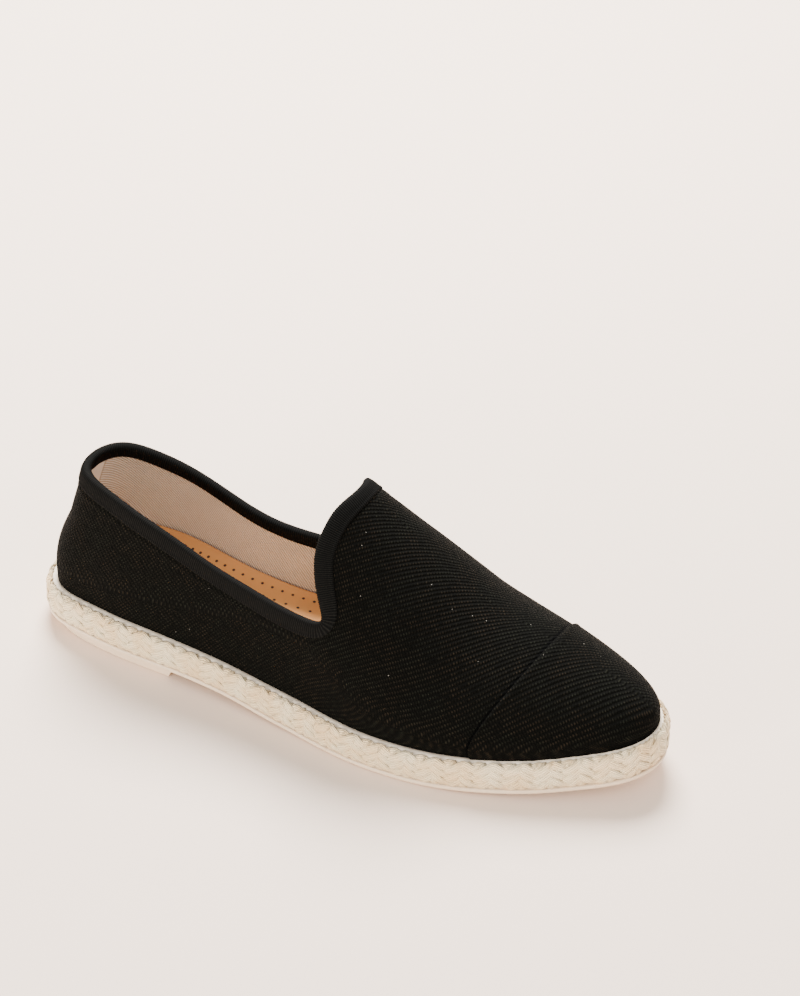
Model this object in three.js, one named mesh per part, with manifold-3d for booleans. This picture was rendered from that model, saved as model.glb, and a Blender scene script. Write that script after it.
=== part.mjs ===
// Slip-on espadrille, right shoe, in millimetres: +X to the toe, +Y to the inner side of the foot, +Z up.
// The sole stands on z = 0 and the origin is under the middle of the shoe.
import * as THREE from 'three';
import { mergeVertices } from 'three/addons/utils/BufferGeometryUtils.js';
import Module from 'manifold-3d';

const wasm = await Module();
wasm.setup();

// Sole sizes
const SOLE_LENGTH = 264;
const BALL_WIDTH = 90.5;
const HEEL_RADIUS_OUTER = 31.6;
const HEEL_RADIUS_INNER = 40;
const TOE_RADIUS_OUTER = 20.5;
const TOE_RADIUS_INNER = 21.8;
const PLATFORM_HEIGHT = 17.3;
const TOE_SPRING = 9.0;
const LIP_HEIGHT = 1.5;
const LIP_ROUNDING = 0.8;
const LIP_INSET = 0.5;
const TREAD_INSET = 3.0;
const PIECE_GAP = 0.3;

// Heel block, waist panel and the groove in front of the heel
const HEEL_BLOCK_HEIGHT = 5.0;
const HEEL_BLOCK_LENGTH = 67;
const HEEL_BREAST_SLANT = 2.5;
const HEEL_BLOCK_INSET = 2.5;
const HEEL_BACK_INSET = 6.0;
const HEEL_BACK_SHARE = 0.12;
const HEEL_BLOCK_TAPER = 1.0;
const WAIST_PANEL_LENGTH = 40;
const WAIST_PANEL_MARGIN = 6;
const WAIST_PANEL_DEPTH = 0.8;
const HEEL_GROOVE_WIDTH = 7;
const HEEL_GROOVE_DEPTH = 1.6;

// Braid, ledge, upper, cap, ribbon and sock
const BRAID_THICKNESS = 2.6;
const BRAID_RELIEF = 0.45;
const BRAID_PITCH = 5.6;
const BRAID_CURL = 1.6;
const BRAID_ROWS = [0.28, 0.52, 0.76];
const LEDGE_WIDTH = 4.9;
const UPPER_WALL = 2.0;
const INSTEP_HEIGHT = 98;
const HEEL_HEIGHT = 71;
const HEEL_LEAN = 12.7;
const HEEL_LEAN_POWER = 1.25;
const HEEL_BULGE = 2.2;
const HEEL_BULGE_TOP = 0.59;
const CROWN_POWER = 1.5;
const CROWN_ROUND = 0.5;
const FULLNESS = 1.2;
const CROWN_SHIFT = 3;
const CAP_THICKNESS = 0.7;
const CAP_LENGTH = 48.4;
const CAP_SLANT = 0.134;
const CAP_BOW = 14.6;
const RIBBON_WIDTH = 6.4;
const RIBBON_THICKNESS = 0.9;
const RIBBON_GAP = 0.5;
const SOCK_THICKNESS = 6.0;
const SOCK_TOE_THICKNESS = 1.5;
const SOCK_THIN_FROM = 0.5;
const SOCK_THIN_TO = 0.95;
const SOCK_HEEL_CUP = 6.0;
const SOCK_CUP_FADE = 1.2;
const SOCK_CUP_SAG = 0.3;
const SOCK_ROUNDING = 1.2;
const SOCK_CUP_WIDTH = 11;

// Mesh fineness
const COLUMNS = 80;
const UPPER_ROWS = 12;
const ROW_CROWDING = 1.35;
const PATH_SAMPLES = 36;
const WIDTH_SAMPLES = 120;
const ANGLE_NUDGE = 0.01;

// Sole outline: half widths as shares of the ball width
const OUTLINE = {
  along: [0, 0.08, 0.18, 0.32, 0.46, 0.60, 0.72, 0.84, 0.93, 1],
  outer: [0, 0.284, 0.335, 0.368, 0.433, 0.506, 0.491, 0.391, 0.263, 0],
  inner: [0, 0.317, 0.343, 0.283, 0.308, 0.462, 0.493, 0.411, 0.293, 0],
};

// Height of the platform's top edge, as shares of its height at the heel
const PLATFORM = {
  along: [0, 0.1, 0.2, 0.3, 0.45, 0.62, 0.75, 0.85, 0.93, 1],
  height: [1, 1.046, 1.029, 0.965, 0.85, 0.769, 0.821, 0.965, 1.168, 1.416],
};

// Height of the walking surface, as shares of the toe spring
const TREAD = {
  along: [0, 0.2, 0.3, 0.36, 0.44, 0.52, 0.6, 0.68, 0.75, 0.85, 0.93, 1],
  height: [0.45, 0.45, 0.43, 0.34, 0.12, 0.01, 0, 0, 0.09, 0.32, 0.63, 1],
};

// Last, as shares: level of the widest point and closed crown above it (of the instep height),
// fullness beyond the foot line, and sideways shift of the crown
const LAST = {
  along: [0, 0.15, 0.3, 0.42, 0.5, 0.6, 0.72, 0.84, 0.93, 1],
  belly: [0.285, 0.30, 0.36, 0.43, 0.42, 0.265, 0.205, 0.21, 0.245, 0.28],
  crown: [0.99, 1.01, 1.03, 1.025, 0.985, 0.807, 0.589, 0.482, 0.404, 0.301],
  fullness: [0.5, 0.83, 0.67, 0.67, 0.75, 0.92, 1, 0.92, 0.75, 0.5],
  crownShift: [0, 0, 0.17, 0.17, 0, 0.5, 1, 1, 0.5, 0],
};

// Collar edge, by column angle: place round the upright last and height angle on its section for each side,
// in degrees, and the ribbon's outer and inner legs as shares of its width
const COLLAR = {
  angle: [0, 12, 25, 40, 55, 70, 83, 92, 99, 107, 120, 135, 155, 168, 180],
  place: [0, 10.5, 25, 41.7, 57.3, 72.7, 85, 91.6, 93.2, 91.5, 89.3, 89.9, 91.1, 91.9, 92.2],
  outerRise: [38.3, 39, 38.2, 33.4, 25.7, 15.1, 9.9, 13, 18.8, 24.4, 38.6, 57, 71.7, 80.9, 90],
  innerRise: [38.3, 39, 38, 31.5, 21.4, 10, 5.6, 8.8, 15.5, 21.5, 36.5, 53.5, 68, 78.5, 90],
  outerLeg: [0.88, 0.88, 0.88, 0.88, 0.88, 0.9, 0.95, 0.81, 0.81, 1.06, 1.2, 1.15, 1.05, 1, 1],
  innerLeg: [0.88, 0.88, 0.88, 0.88, 0.75, 0.75, 0.95, 0.81, 0.81, 1.06, 1.12, 1, 1, 1, 1],
};

// Smooth curve through a short table
function smoothTable(places, values) {
  const count = places.length;
  const step = places.slice(1).map((p, i) => p - places[i]);
  const rise = values.slice(1).map((v, i) => (v - values[i]) / step[i]);
  const slope = new Array(count);
  for (let i = 1; i < count - 1; i += 1) {
    slope[i] = (rise[i - 1] * step[i] + rise[i] * step[i - 1]) / (step[i] + step[i - 1]);
  }
  const last = count - 2;
  slope[0] = ((2 * step[0] + step[1]) * rise[0] - step[0] * rise[1]) / (step[0] + step[1]);
  slope[count - 1] = ((2 * step[last] + step[last - 1]) * rise[last] - step[last] * rise[last - 1])
    / (step[last] + step[last - 1]);
  return (place) => {
    const p = Math.min(Math.max(place, places[0]), places[count - 1]);
    let i = 0;
    while (i < count - 2 && p > places[i + 1]) i += 1;
    const h = step[i];
    const s = (p - places[i]) / h;
    return (1 + 2 * s) * (1 - s) ** 2 * values[i] + s * (1 - s) ** 2 * h * slope[i]
      + s * s * (3 - 2 * s) * values[i + 1] + s * s * (s - 1) * h * slope[i + 1];
  };
}

// Amplitude of one side of the outline: its half width over the sine of the column angle
function sideAmplitude(shares, heelRadius, toeRadius) {
  const values = OUTLINE.along.map((t, i) => shares[i] * BALL_WIDTH / Math.sqrt(4 * t * (1 - t)));
  values[0] = Math.sqrt(heelRadius * SOLE_LENGTH / 2);
  values[values.length - 1] = Math.sqrt(toeRadius * SOLE_LENGTH / 2);
  return smoothTable(OUTLINE.along, values);
}

const outerAmplitude = sideAmplitude(OUTLINE.outer, HEEL_RADIUS_OUTER, TOE_RADIUS_OUTER);
const innerAmplitude = sideAmplitude(OUTLINE.inner, HEEL_RADIUS_INNER, TOE_RADIUS_INNER);
const platformShare = smoothTable(PLATFORM.along, PLATFORM.height);
const treadShare = smoothTable(TREAD.along, TREAD.height);
const lastTable = (name) => smoothTable(LAST.along.map((t) => Math.acos(1 - 2 * t)), LAST[name]);
const bellyShare = lastTable('belly');
const crownShare = lastTable('crown');
const fullness = lastTable('fullness');
const crownShift = lastTable('crownShift');
const collarPlace = smoothTable(COLLAR.angle, COLLAR.place);
const collarRiseOuter = smoothTable(COLLAR.angle, COLLAR.outerRise);
const collarRiseInner = smoothTable(COLLAR.angle, COLLAR.innerRise);
const ribbonOuterLeg = smoothTable(COLLAR.angle, COLLAR.outerLeg);
const ribbonInnerLeg = smoothTable(COLLAR.angle, COLLAR.innerLeg);

// Share of the length at a place x, kept inside the shoe
const shareAt = (x) => Math.min(Math.max(x / SOLE_LENGTH + 0.5, 0), 1);
const platformTop = (x) => PLATFORM_HEIGHT * platformShare(shareAt(x));
const treadHeight = (x) => Math.max(0, TOE_SPRING * treadShare(shareAt(x)));
const lipBottom = (x) => treadHeight(x) + LIP_ROUNDING;
const braidBottom = (x) => lipBottom(x) + LIP_HEIGHT;

// Point of the sole outline at a column angle: 0 at the heel, a half turn at the toe, outer side first
function outlinePoint(angle) {
  const t = (1 - Math.cos(angle)) / 2;
  const amplitude = Math.sin(angle) > 0 ? outerAmplitude(t) : innerAmplitude(t);
  return new THREE.Vector2((t - 0.5) * SOLE_LENGTH, -amplitude * Math.sin(angle));
}

// The outline moved inward by an inset, which may change round the shoe
function outlineAt(angle, inset) {
  const ahead = outlinePoint(angle + ANGLE_NUDGE);
  const tangent = ahead.sub(outlinePoint(angle - ANGLE_NUDGE)).normalize();
  const point = outlinePoint(angle);
  return new THREE.Vector2(point.x - tangent.y * inset, point.y + tangent.x * inset);
}

const columnAngle = (column, columns) => column / columns * 2 * Math.PI;

// Ring of points at an inset and a height rule
function ring(inset, height, columns = COLUMNS) {
  const points = [];
  for (let column = 0; column < columns; column += 1) {
    const angle = columnAngle(column, columns);
    const plan = outlineAt(angle, typeof inset === 'function' ? inset(angle) : inset);
    points.push(new THREE.Vector3(plan.x, plan.y, height(plan.x)));
  }
  return points;
}

// Geometry from points and triangles
function geometryOf(points, triangles) {
  const geometry = new THREE.BufferGeometry();
  const flat = points.flatMap((p) => [p.x, p.y, p.z]);
  geometry.setAttribute('position', new THREE.Float32BufferAttribute(flat, 3));
  geometry.setIndex(triangles);
  geometry.computeVertexNormals();
  return geometry;
}

// Solid between a first ring and a last ring, both closed across the shoe by strips
function stackOfRings(rings) {
  const columns = rings[0].length;
  const points = rings.flat();
  const triangles = [];
  for (let row = 0; row < rings.length - 1; row += 1) {
    for (let column = 0; column < columns; column += 1) {
      const next = (column + 1) % columns;
      const low = row * columns;
      const high = low + columns;
      triangles.push(low + column, low + next, high + next);
      triangles.push(low + column, high + next, high + column);
    }
  }
  const top = (rings.length - 1) * columns;
  for (let column = 0; column < columns / 2; column += 1) {
    const here = column;
    const next = column + 1;
    const across = (columns - column) % columns;
    const acrossNext = columns - column - 1;
    if (next !== acrossNext) {
      triangles.push(here, acrossNext, next);
      triangles.push(top + here, top + next, top + acrossNext);
    }
    if (here !== across) {
      triangles.push(here, across, acrossNext);
      triangles.push(top + here, top + acrossNext, top + across);
    }
  }
  return geometryOf(points, triangles);
}

// Closed tube round the shoe: each column holds the same loop of points.
// Sides that fall are split the other way, so that facets of nested pieces stay parallel.
function loopRoundShoe(loops, falls = () => false) {
  const columns = loops.length;
  const size = loops[0].length;
  const triangles = [];
  for (let column = 0; column < columns; column += 1) {
    const next = (column + 1) % columns;
    for (let i = 0; i < size; i += 1) {
      const j = (i + 1) % size;
      const [here, hereOn] = [column * size + i, column * size + j];
      const [there, thereOn] = [next * size + i, next * size + j];
      if (falls(i)) triangles.push(here, there, hereOn, there, thereOn, hereOn);
      else triangles.push(here, there, thereOn, here, thereOn, hereOn);
    }
  }
  return geometryOf(loops.flat(), triangles);
}

// Between three.js geometry and a solid for cutting and joining
function solidOf(geometry) {
  const bare = geometry.clone();
  bare.deleteAttribute('normal');
  bare.deleteAttribute('uv');
  const merged = mergeVertices(bare, 1e-4);
  const vertProperties = new Float32Array(merged.attributes.position.array);
  const triVerts = new Uint32Array(merged.index.array);
  return new wasm.Manifold(new wasm.Mesh({ numProp: 3, vertProperties, triVerts }));
}

function geometryFrom(solid) {
  const mesh = solid.getMesh();
  const geometry = new THREE.BufferGeometry();
  geometry.setAttribute('position', new THREE.Float32BufferAttribute(mesh.vertProperties, 3));
  geometry.setIndex(Array.from(mesh.triVerts));
  geometry.computeVertexNormals();
  return geometry;
}

// Half widths of the upper's foot line, as a function of place along the shoe
const UPPER_REACH = SOLE_LENGTH / 2 - LEDGE_WIDTH;
const RIDGE_REACH = 0.8 * UPPER_REACH;

function footLineTable(side) {
  const rows = [];
  for (let i = 0; i <= WIDTH_SAMPLES; i += 1) {
    const angle = Math.PI * (0.02 + 0.96 * i / WIDTH_SAMPLES);
    const plan = outlineAt(side > 0 ? 2 * Math.PI - angle : angle, LEDGE_WIDTH);
    const own = Math.acos(Math.min(Math.max(-plan.x / UPPER_REACH, -1), 1));
    rows.push([own, Math.abs(plan.y) / Math.sin(own)]);
  }
  return smoothTable(rows.map((r) => r[0]), rows.map((r) => r[1]));
}

const footLineOuter = footLineTable(-1);
const footLineInner = footLineTable(1);
const footLine = (x) => platformTop(x) + PIECE_GAP;

// How far the back of the last leans forward at a height
function leanAt(z) {
  const full = (z - PLATFORM_HEIGHT) / (HEEL_HEIGHT - PLATFORM_HEIGHT);
  const bulge = Math.sin(Math.PI * Math.min(Math.max(full / HEEL_BULGE_TOP, 0), 1));
  return HEEL_LEAN * Math.max(0, full) ** HEEL_LEAN_POWER - HEEL_BULGE * bulge;
}

// The lean fades toward the middle of the shoe: from the upright last to the real one, and back
function leanForward(x, z) {
  return x < 0 ? x + leanAt(z) * (x / UPPER_REACH) ** 2 : x;
}

function uprightPlace(x, z) {
  const bend = leanAt(z) / UPPER_REACH ** 2;
  if (x >= 0 || Math.abs(bend) < 1e-9) return x;
  return (Math.sqrt(Math.max(1 + 4 * bend * x, 0)) - 1) / (2 * bend);
}

// Section of the upright last at a turn from heel (0) to toe (a half turn): [centre, half width] at a height
function sectionAt(turn, z, side) {
  const belly = INSTEP_HEIGHT * bellyShare(turn);
  const crown = INSTEP_HEIGHT * crownShare(turn);
  const foot = footLine(-UPPER_REACH * Math.cos(turn));
  const footHalf = (side > 0 ? footLineInner(turn) : footLineOuter(turn)) * Math.sin(turn);
  const full = FULLNESS * fullness(turn) * Math.sin(turn);
  if (z <= belly) {
    const tuck = Math.min((belly - z) / (belly - foot), 1);
    return [0, footHalf + full * (1 - tuck * tuck)];
  }
  const share = Math.min((z - belly) / (crown - belly), 1);
  return [CROWN_SHIFT * crownShift(turn) * share, (footHalf + full) * (1 - share ** CROWN_POWER) ** CROWN_ROUND];
}

// How deep a point lies inside the last, measured across the shoe: negative outside
function depthInside(point) {
  const upright = uprightPlace(point.x, point.z);
  const beyond = Math.max(Math.abs(upright) - UPPER_REACH, 0);
  const turn = Math.acos(-THREE.MathUtils.clamp(upright / UPPER_REACH, -1, 1));
  const [centre, half] = sectionAt(turn, point.z, point.y > 0 ? 1 : -1);
  return half - Math.abs(point.y - centre) - beyond;
}

// The same surface as a level that stays smooth over the crown's ridge: negative inside
function ridgeLevel(point) {
  const upright = uprightPlace(point.x, point.z);
  const turn = Math.acos(-THREE.MathUtils.clamp(upright / UPPER_REACH, -1, 1));
  const side = point.y > 0 ? 1 : -1;
  const belly = INSTEP_HEIGHT * bellyShare(turn);
  const share = (point.z - belly) / (INSTEP_HEIGHT * crownShare(turn) - belly);
  const [, widest] = sectionAt(turn, belly, side);
  const across = (point.y - CROWN_SHIFT * crownShift(turn) * Math.min(share, 1)) / widest;
  return Math.abs(across) ** (1 / CROWN_ROUND) + Math.max(share, 0) ** CROWN_POWER;
}

// Outward direction of the last near a point on it
const NORMAL_STEP = 0.004 * SOLE_LENGTH;

function lastNormal(point) {
  const belly = INSTEP_HEIGHT * bellyShare(Math.acos(-THREE.MathUtils.clamp(point.x / UPPER_REACH, -1, 1)));
  const nearRidge = Math.abs(point.x) < RIDGE_REACH && point.z > 2 * belly;
  const level = nearRidge ? ridgeLevel : (probe) => -depthInside(probe);
  const change = (dx, dy, dz) => {
    const step = new THREE.Vector3(dx, dy, dz);
    return level(point.clone().add(step)) - level(point.clone().sub(step));
  };
  return new THREE.Vector3(
    change(NORMAL_STEP, 0, 0),
    change(0, NORMAL_STEP, 0),
    change(0, 0, NORMAL_STEP),
  ).normalize();
}

// Where a ray from inside leaves the last
function castOut(origin, direction) {
  let near = 0;
  let far = SOLE_LENGTH;
  const probe = new THREE.Vector3();
  for (let i = 0; i < 26; i += 1) {
    const middle = (near + far) / 2;
    probe.copy(direction).multiplyScalar(middle).add(origin);
    if (depthInside(probe) > 0) near = middle;
    else far = middle;
  }
  return probe.copy(direction).multiplyScalar(near).add(origin).clone();
}

// Column angle in degrees, counted from the heel on both sides
const columnDegrees = (angle) => THREE.MathUtils.radToDeg(Math.min(angle, 2 * Math.PI - angle));

// Collar point of a column, on the last
function collarPoint(angle) {
  const side = angle <= Math.PI ? -1 : 1;
  const column = columnDegrees(angle);
  const turn = THREE.MathUtils.degToRad(collarPlace(column));
  const rise = THREE.MathUtils.degToRad(side < 0 ? collarRiseOuter(column) : collarRiseInner(column));
  const belly = INSTEP_HEIGHT * bellyShare(turn);
  const z = belly + (INSTEP_HEIGHT * crownShare(turn) - belly) * Math.sin(rise);
  const [centre, half] = sectionAt(turn, z, side);
  return new THREE.Vector3(leanForward(-UPPER_REACH * Math.cos(turn), z), centre + side * half, z);
}

// Inside point that a column's rays start from
const RAY_BACK = -0.36 * SOLE_LENGTH;
const RAY_FRONT = 0.14 * SOLE_LENGTH;
const RAY_LEVEL = 0.32 * INSTEP_HEIGHT;

// One column of the upper's outer face, from foot line to collar
function upperColumn(angle) {
  const plan = outlineAt(angle, LEDGE_WIDTH);
  const foot = new THREE.Vector3(plan.x, plan.y, footLine(plan.x));
  const edge = collarPoint(angle);
  const origin = new THREE.Vector3(Math.min(Math.max(foot.x, RAY_BACK), RAY_FRONT), 0, RAY_LEVEL);
  const start = foot.clone().sub(origin).normalize();
  const end = edge.clone().sub(origin).normalize();
  const opening = start.angleTo(end);
  const pointAt = (share) => {
    if (share <= 0) return foot.clone();
    if (share >= 1) return edge.clone();
    const direction = start.clone().multiplyScalar(Math.sin((1 - share) * opening))
      .add(end.clone().multiplyScalar(Math.sin(share * opening))).normalize();
    return castOut(origin, direction);
  };
  const trail = [];
  for (let i = 0; i <= PATH_SAMPLES; i += 1) trail.push(pointAt(i / PATH_SAMPLES));
  const lengths = [0];
  for (let i = 1; i <= PATH_SAMPLES; i += 1) {
    lengths.push(lengths[i - 1] + trail[i].distanceTo(trail[i - 1]));
  }
  const total = lengths[PATH_SAMPLES];
  const atLength = (length) => {
    let i = 1;
    while (i < PATH_SAMPLES && lengths[i] < length) i += 1;
    const part = (length - lengths[i - 1]) / (lengths[i] - lengths[i - 1]);
    return pointAt((i - 1 + part) / PATH_SAMPLES);
  };
  const points = [foot];
  const plainLength = total - RIBBON_WIDTH * ribbonOuterLeg(columnDegrees(angle));
  for (let row = 1; row <= UPPER_ROWS - 2; row += 1) {
    points.push(atLength(plainLength * (row / (UPPER_ROWS - 2)) ** ROW_CROWDING));
  }
  points.push(edge);
  return points;
}

const upperGrid = [];
for (let column = 0; column < COLUMNS; column += 1) {
  upperGrid.push(upperColumn(columnAngle(column, COLUMNS)));
}

const upperNormals = upperGrid.map((points) => points.map(lastNormal));

// Grid point moved along its normal
function offsetPoint(column, row, distance) {
  return upperGrid[column][row].clone().addScaledVector(upperNormals[column][row], distance);
}

// Foot line kept level: its points move in plan only
function footPoint(column, distance) {
  const normal = upperNormals[column][0].clone().setZ(0).normalize();
  return upperGrid[column][0].clone().addScaledVector(normal, distance);
}

// Hollow wall between two offsets of the last, open at the collar and underneath
function hollowWall(outside, inside) {
  const loops = [];
  for (let column = 0; column < COLUMNS; column += 1) {
    const loop = [footPoint(column, outside)];
    for (let row = 1; row < UPPER_ROWS; row += 1) loop.push(offsetPoint(column, row, outside));
    for (let row = UPPER_ROWS - 1; row > 0; row -= 1) loop.push(offsetPoint(column, row, inside));
    loop.push(footPoint(column, inside));
    loops.push(loop);
  }
  return loopRoundShoe(loops, (i) => i >= UPPER_ROWS);
}

function buildUpper() {
  return hollowWall(0, -UPPER_WALL);
}

// Everything ahead of the cap's seam, as a tall block
function aheadOfSeam() {
  const shape = new THREE.Shape();
  const reach = BALL_WIDTH;
  const steps = 12;
  const front = SOLE_LENGTH;
  shape.moveTo(front, -reach);
  shape.lineTo(front, reach);
  for (let i = steps; i >= 0; i -= 1) {
    const y = reach * (2 * i / steps - 1);
    shape.lineTo(SOLE_LENGTH / 2 - CAP_LENGTH + CAP_SLANT * y - CAP_BOW * (2 * y / BALL_WIDTH) ** 2, y);
  }
  return new THREE.ExtrudeGeometry(shape, { depth: 2 * INSTEP_HEIGHT, bevelEnabled: false });
}

function buildToeCap() {
  const wall = solidOf(hollowWall(PIECE_GAP + CAP_THICKNESS, PIECE_GAP));
  return geometryFrom(wall.intersect(solidOf(aheadOfSeam())));
}

// Ribbon folded over the collar's edge, with the same columns as the upper.
// Its falling sides are the inner leg's outer face and the outer leg's inner face.
const RIBBON_FALLS = [5, 9];

function buildCollarBinding() {
  const near = RIBBON_GAP;
  const far = RIBBON_GAP + RIBBON_THICKNESS;
  const edgeRow = UPPER_ROWS - 1;
  const footRow = UPPER_ROWS - 2;
  const loops = [];
  for (let column = 0; column < COLUMNS; column += 1) {
    const before = upperGrid[(column + COLUMNS - 1) % COLUMNS][edgeRow];
    const along = upperGrid[(column + 1) % COLUMNS][edgeRow].clone().sub(before);
    const rise = upperNormals[column][edgeRow].clone().cross(along).normalize();
    const lifted = (distance, lift) => offsetPoint(column, edgeRow, distance).addScaledVector(rise, lift);
    const degrees = columnDegrees(columnAngle(column, COLUMNS));
    const innerShare = Math.min(ribbonInnerLeg(degrees) / ribbonOuterLeg(degrees), 1);
    const innerFoot = (distance) => offsetPoint(column, edgeRow, distance)
      .lerp(offsetPoint(column, footRow, distance), innerShare);
    loops.push([
      offsetPoint(column, footRow, near),
      offsetPoint(column, footRow, far),
      lifted(far, 0),
      lifted(far - RIBBON_THICKNESS, far),
      lifted(-UPPER_WALL - far + RIBBON_THICKNESS, far),
      lifted(-UPPER_WALL - far, 0),
      innerFoot(-UPPER_WALL - far),
      innerFoot(-UPPER_WALL - near),
      lifted(-UPPER_WALL - near, near),
      lifted(near, near),
    ]);
  }
  return loopRoundShoe(loops, (i) => RIBBON_FALLS.includes(i));
}

function buildMidsole() {
  const inset = LIP_INSET + BRAID_THICKNESS + PIECE_GAP;
  const bottom = (x) => braidBottom(x) + PIECE_GAP;
  return stackOfRings([
    ring(inset, bottom),
    ring(inset, (x) => platformTop(x) - LIP_ROUNDING),
    ring(inset + LIP_ROUNDING, platformTop),
  ]);
}

// Sock inside the upper, with its edge cupped up round the heel
function buildInsole() {
  const inset = LEDGE_WIDTH + UPPER_WALL + PIECE_GAP;
  const bottom = (x) => footLine(x);
  const cup = (x) => SOCK_HEEL_CUP * Math.max(0, 1 - shareAt(x) / SOCK_THIN_FROM) ** SOCK_CUP_FADE;
  const thinning = (x) => THREE.MathUtils.smoothstep(shareAt(x), SOCK_THIN_FROM, SOCK_THIN_TO);
  const top = (x) => bottom(x) + THREE.MathUtils.lerp(SOCK_THICKNESS, SOCK_TOE_THICKNESS, thinning(x));
  const edge = (x) => top(x) + cup(x);
  return stackOfRings([
    ring(inset, bottom),
    ring(inset, (x) => edge(x) - SOCK_ROUNDING),
    ring(inset + SOCK_ROUNDING, edge),
    ring(inset + SOCK_CUP_WIDTH / 2, (x) => top(x) + SOCK_CUP_SAG * cup(x)),
    ring(inset + SOCK_CUP_WIDTH, top),
  ]);
}

// Plaited band: its outer face is a lattice of raised crossings
function buildBraidWrap() {
  const girth = ringLength(ring(0, platformTop));
  const columns = 2 * Math.round(girth / BRAID_PITCH);
  const loops = [];
  for (let column = 0; column < columns; column += 1) {
    const angle = evenAngle(column / columns);
    const place = (inset, height) => {
      const plan = outlineAt(angle, inset);
      return new THREE.Vector3(plan.x, plan.y, height(plan.x));
    };
    const relief = (row) => ((row + column) % 2 === 0 ? 0 : BRAID_RELIEF);
    const between = (share) => (x) => braidBottom(x) + PIECE_GAP
      + (platformTop(x) - BRAID_CURL - braidBottom(x) - PIECE_GAP) * share;
    const back = LIP_INSET + BRAID_THICKNESS;
    loops.push([
      place(back, between(0)),
      place(LIP_INSET + BRAID_RELIEF, between(0)),
      ...BRAID_ROWS.map((share, row) => place(relief(row + 1), between(share))),
      place(LIP_INSET + relief(0) / 2, between(1)),
      place(back - LIP_ROUNDING, platformTop),
      place(back, (x) => platformTop(x) - LIP_ROUNDING / 2),
    ]);
  }
  return loopRoundShoe(loops);
}

function ringLength(points) {
  let length = 0;
  points.forEach((p, i) => { length += p.distanceTo(points[(i + 1) % points.length]); });
  return length;
}

// Column angle at an even share of the way round the outline
const EVEN_STEPS = 720;
const evenLengths = [0];
for (let i = 1; i <= EVEN_STEPS; i += 1) {
  const here = outlinePoint(columnAngle(i, EVEN_STEPS));
  evenLengths.push(evenLengths[i - 1] + here.distanceTo(outlinePoint(columnAngle(i - 1, EVEN_STEPS))));
}

function evenAngle(share) {
  const length = share * evenLengths[EVEN_STEPS];
  let i = 1;
  while (i < EVEN_STEPS && evenLengths[i] < length) i += 1;
  const part = (length - evenLengths[i - 1]) / (evenLengths[i] - evenLengths[i - 1]);
  return columnAngle(i - 1 + part, EVEN_STEPS);
}

// Block across the whole sole between two places along it, with an upright or slanted front
function crossBlock(back, front, low, high, slant) {
  const shape = new THREE.Shape();
  shape.moveTo(back, low);
  shape.lineTo(front, low);
  shape.lineTo(front + slant, high);
  shape.lineTo(back, high);
  const width = BALL_WIDTH * 2;
  const geometry = new THREE.ExtrudeGeometry(shape, { depth: width, bevelEnabled: false });
  geometry.rotateX(Math.PI / 2);
  geometry.translate(0, width / 2, 0);
  return geometry;
}

function buildHeelBlock() {
  const backness = (angle) => Math.max(0, 1 - (1 - Math.cos(angle)) / 2 / HEEL_BACK_SHARE) ** 2;
  const inset = (angle) => HEEL_BLOCK_INSET + (HEEL_BACK_INSET - HEEL_BLOCK_INSET) * backness(angle);
  const column = stackOfRings([
    ring(inset, () => 0),
    ring((angle) => inset(angle) - HEEL_BLOCK_TAPER, () => HEEL_BLOCK_HEIGHT),
  ]);
  const heelBack = -SOLE_LENGTH / 2;
  const cut = crossBlock(heelBack - 1, heelBack + HEEL_BLOCK_LENGTH, -1, HEEL_BLOCK_HEIGHT + 1, HEEL_BREAST_SLANT);
  return solidOf(column).intersect(solidOf(cut));
}

function buildOutsole() {
  const plate = stackOfRings([
    ring(TREAD_INSET, treadHeight),
    ring(LIP_INSET, lipBottom),
    ring(LIP_INSET, braidBottom),
    ring(TREAD_INSET, braidBottom),
  ]);
  const breast = -SOLE_LENGTH / 2 + HEEL_BLOCK_LENGTH;
  const panelStart = breast + HEEL_GROOVE_WIDTH + HEEL_BREAST_SLANT;
  const panelRings = [-SOLE_LENGTH, 0].map((drop) => ring(
    WAIST_PANEL_MARGIN,
    (x) => treadHeight(x) + WAIST_PANEL_DEPTH + drop,
  ));
  const panel = solidOf(stackOfRings(panelRings)).intersect(solidOf(crossBlock(
    panelStart, panelStart + WAIST_PANEL_LENGTH, -SOLE_LENGTH, SOLE_LENGTH, 0,
  )));
  const grooveRings = [-SOLE_LENGTH, 0].map((drop) => ring(
    WAIST_PANEL_MARGIN,
    (x) => treadHeight(x) + HEEL_GROOVE_DEPTH + drop,
  ));
  const groove = solidOf(stackOfRings(grooveRings)).intersect(solidOf(crossBlock(
    breast - 1, breast + HEEL_GROOVE_WIDTH, -SOLE_LENGTH, SOLE_LENGTH, 0,
  )));
  const sole = solidOf(plate).subtract(panel).subtract(groove).add(buildHeelBlock());
  return geometryFrom(sole);
}

const CANVAS_BLACK = 0x14130f;
const PIECES = [
  { name: 'outsole', build: buildOutsole, color: 0xd9d3c3, roughness: 0.6 },
  { name: 'midsole', build: buildMidsole, color: 0xe6e2da, roughness: 0.85 },
  { name: 'braid_wrap', build: buildBraidWrap, color: 0xe2d5bd, roughness: 0.9 },
  { name: 'upper', build: buildUpper, color: CANVAS_BLACK, roughness: 0.95 },
  { name: 'toe_cap', build: buildToeCap, color: CANVAS_BLACK, roughness: 0.95 },
  { name: 'collar_binding', build: buildCollarBinding, color: 0x0e0e0d, roughness: 0.8 },
  { name: 'insole', build: buildInsole, color: 0xc08a4e, roughness: 0.6 },
];

const shoe = new THREE.Group();
for (const piece of PIECES) {
  const material = new THREE.MeshStandardMaterial({
    color: piece.color, roughness: piece.roughness, metalness: 0,
  });
  const mesh = new THREE.Mesh(piece.build(), material);
  mesh.name = piece.name;
  shoe.add(mesh);
}

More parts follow.
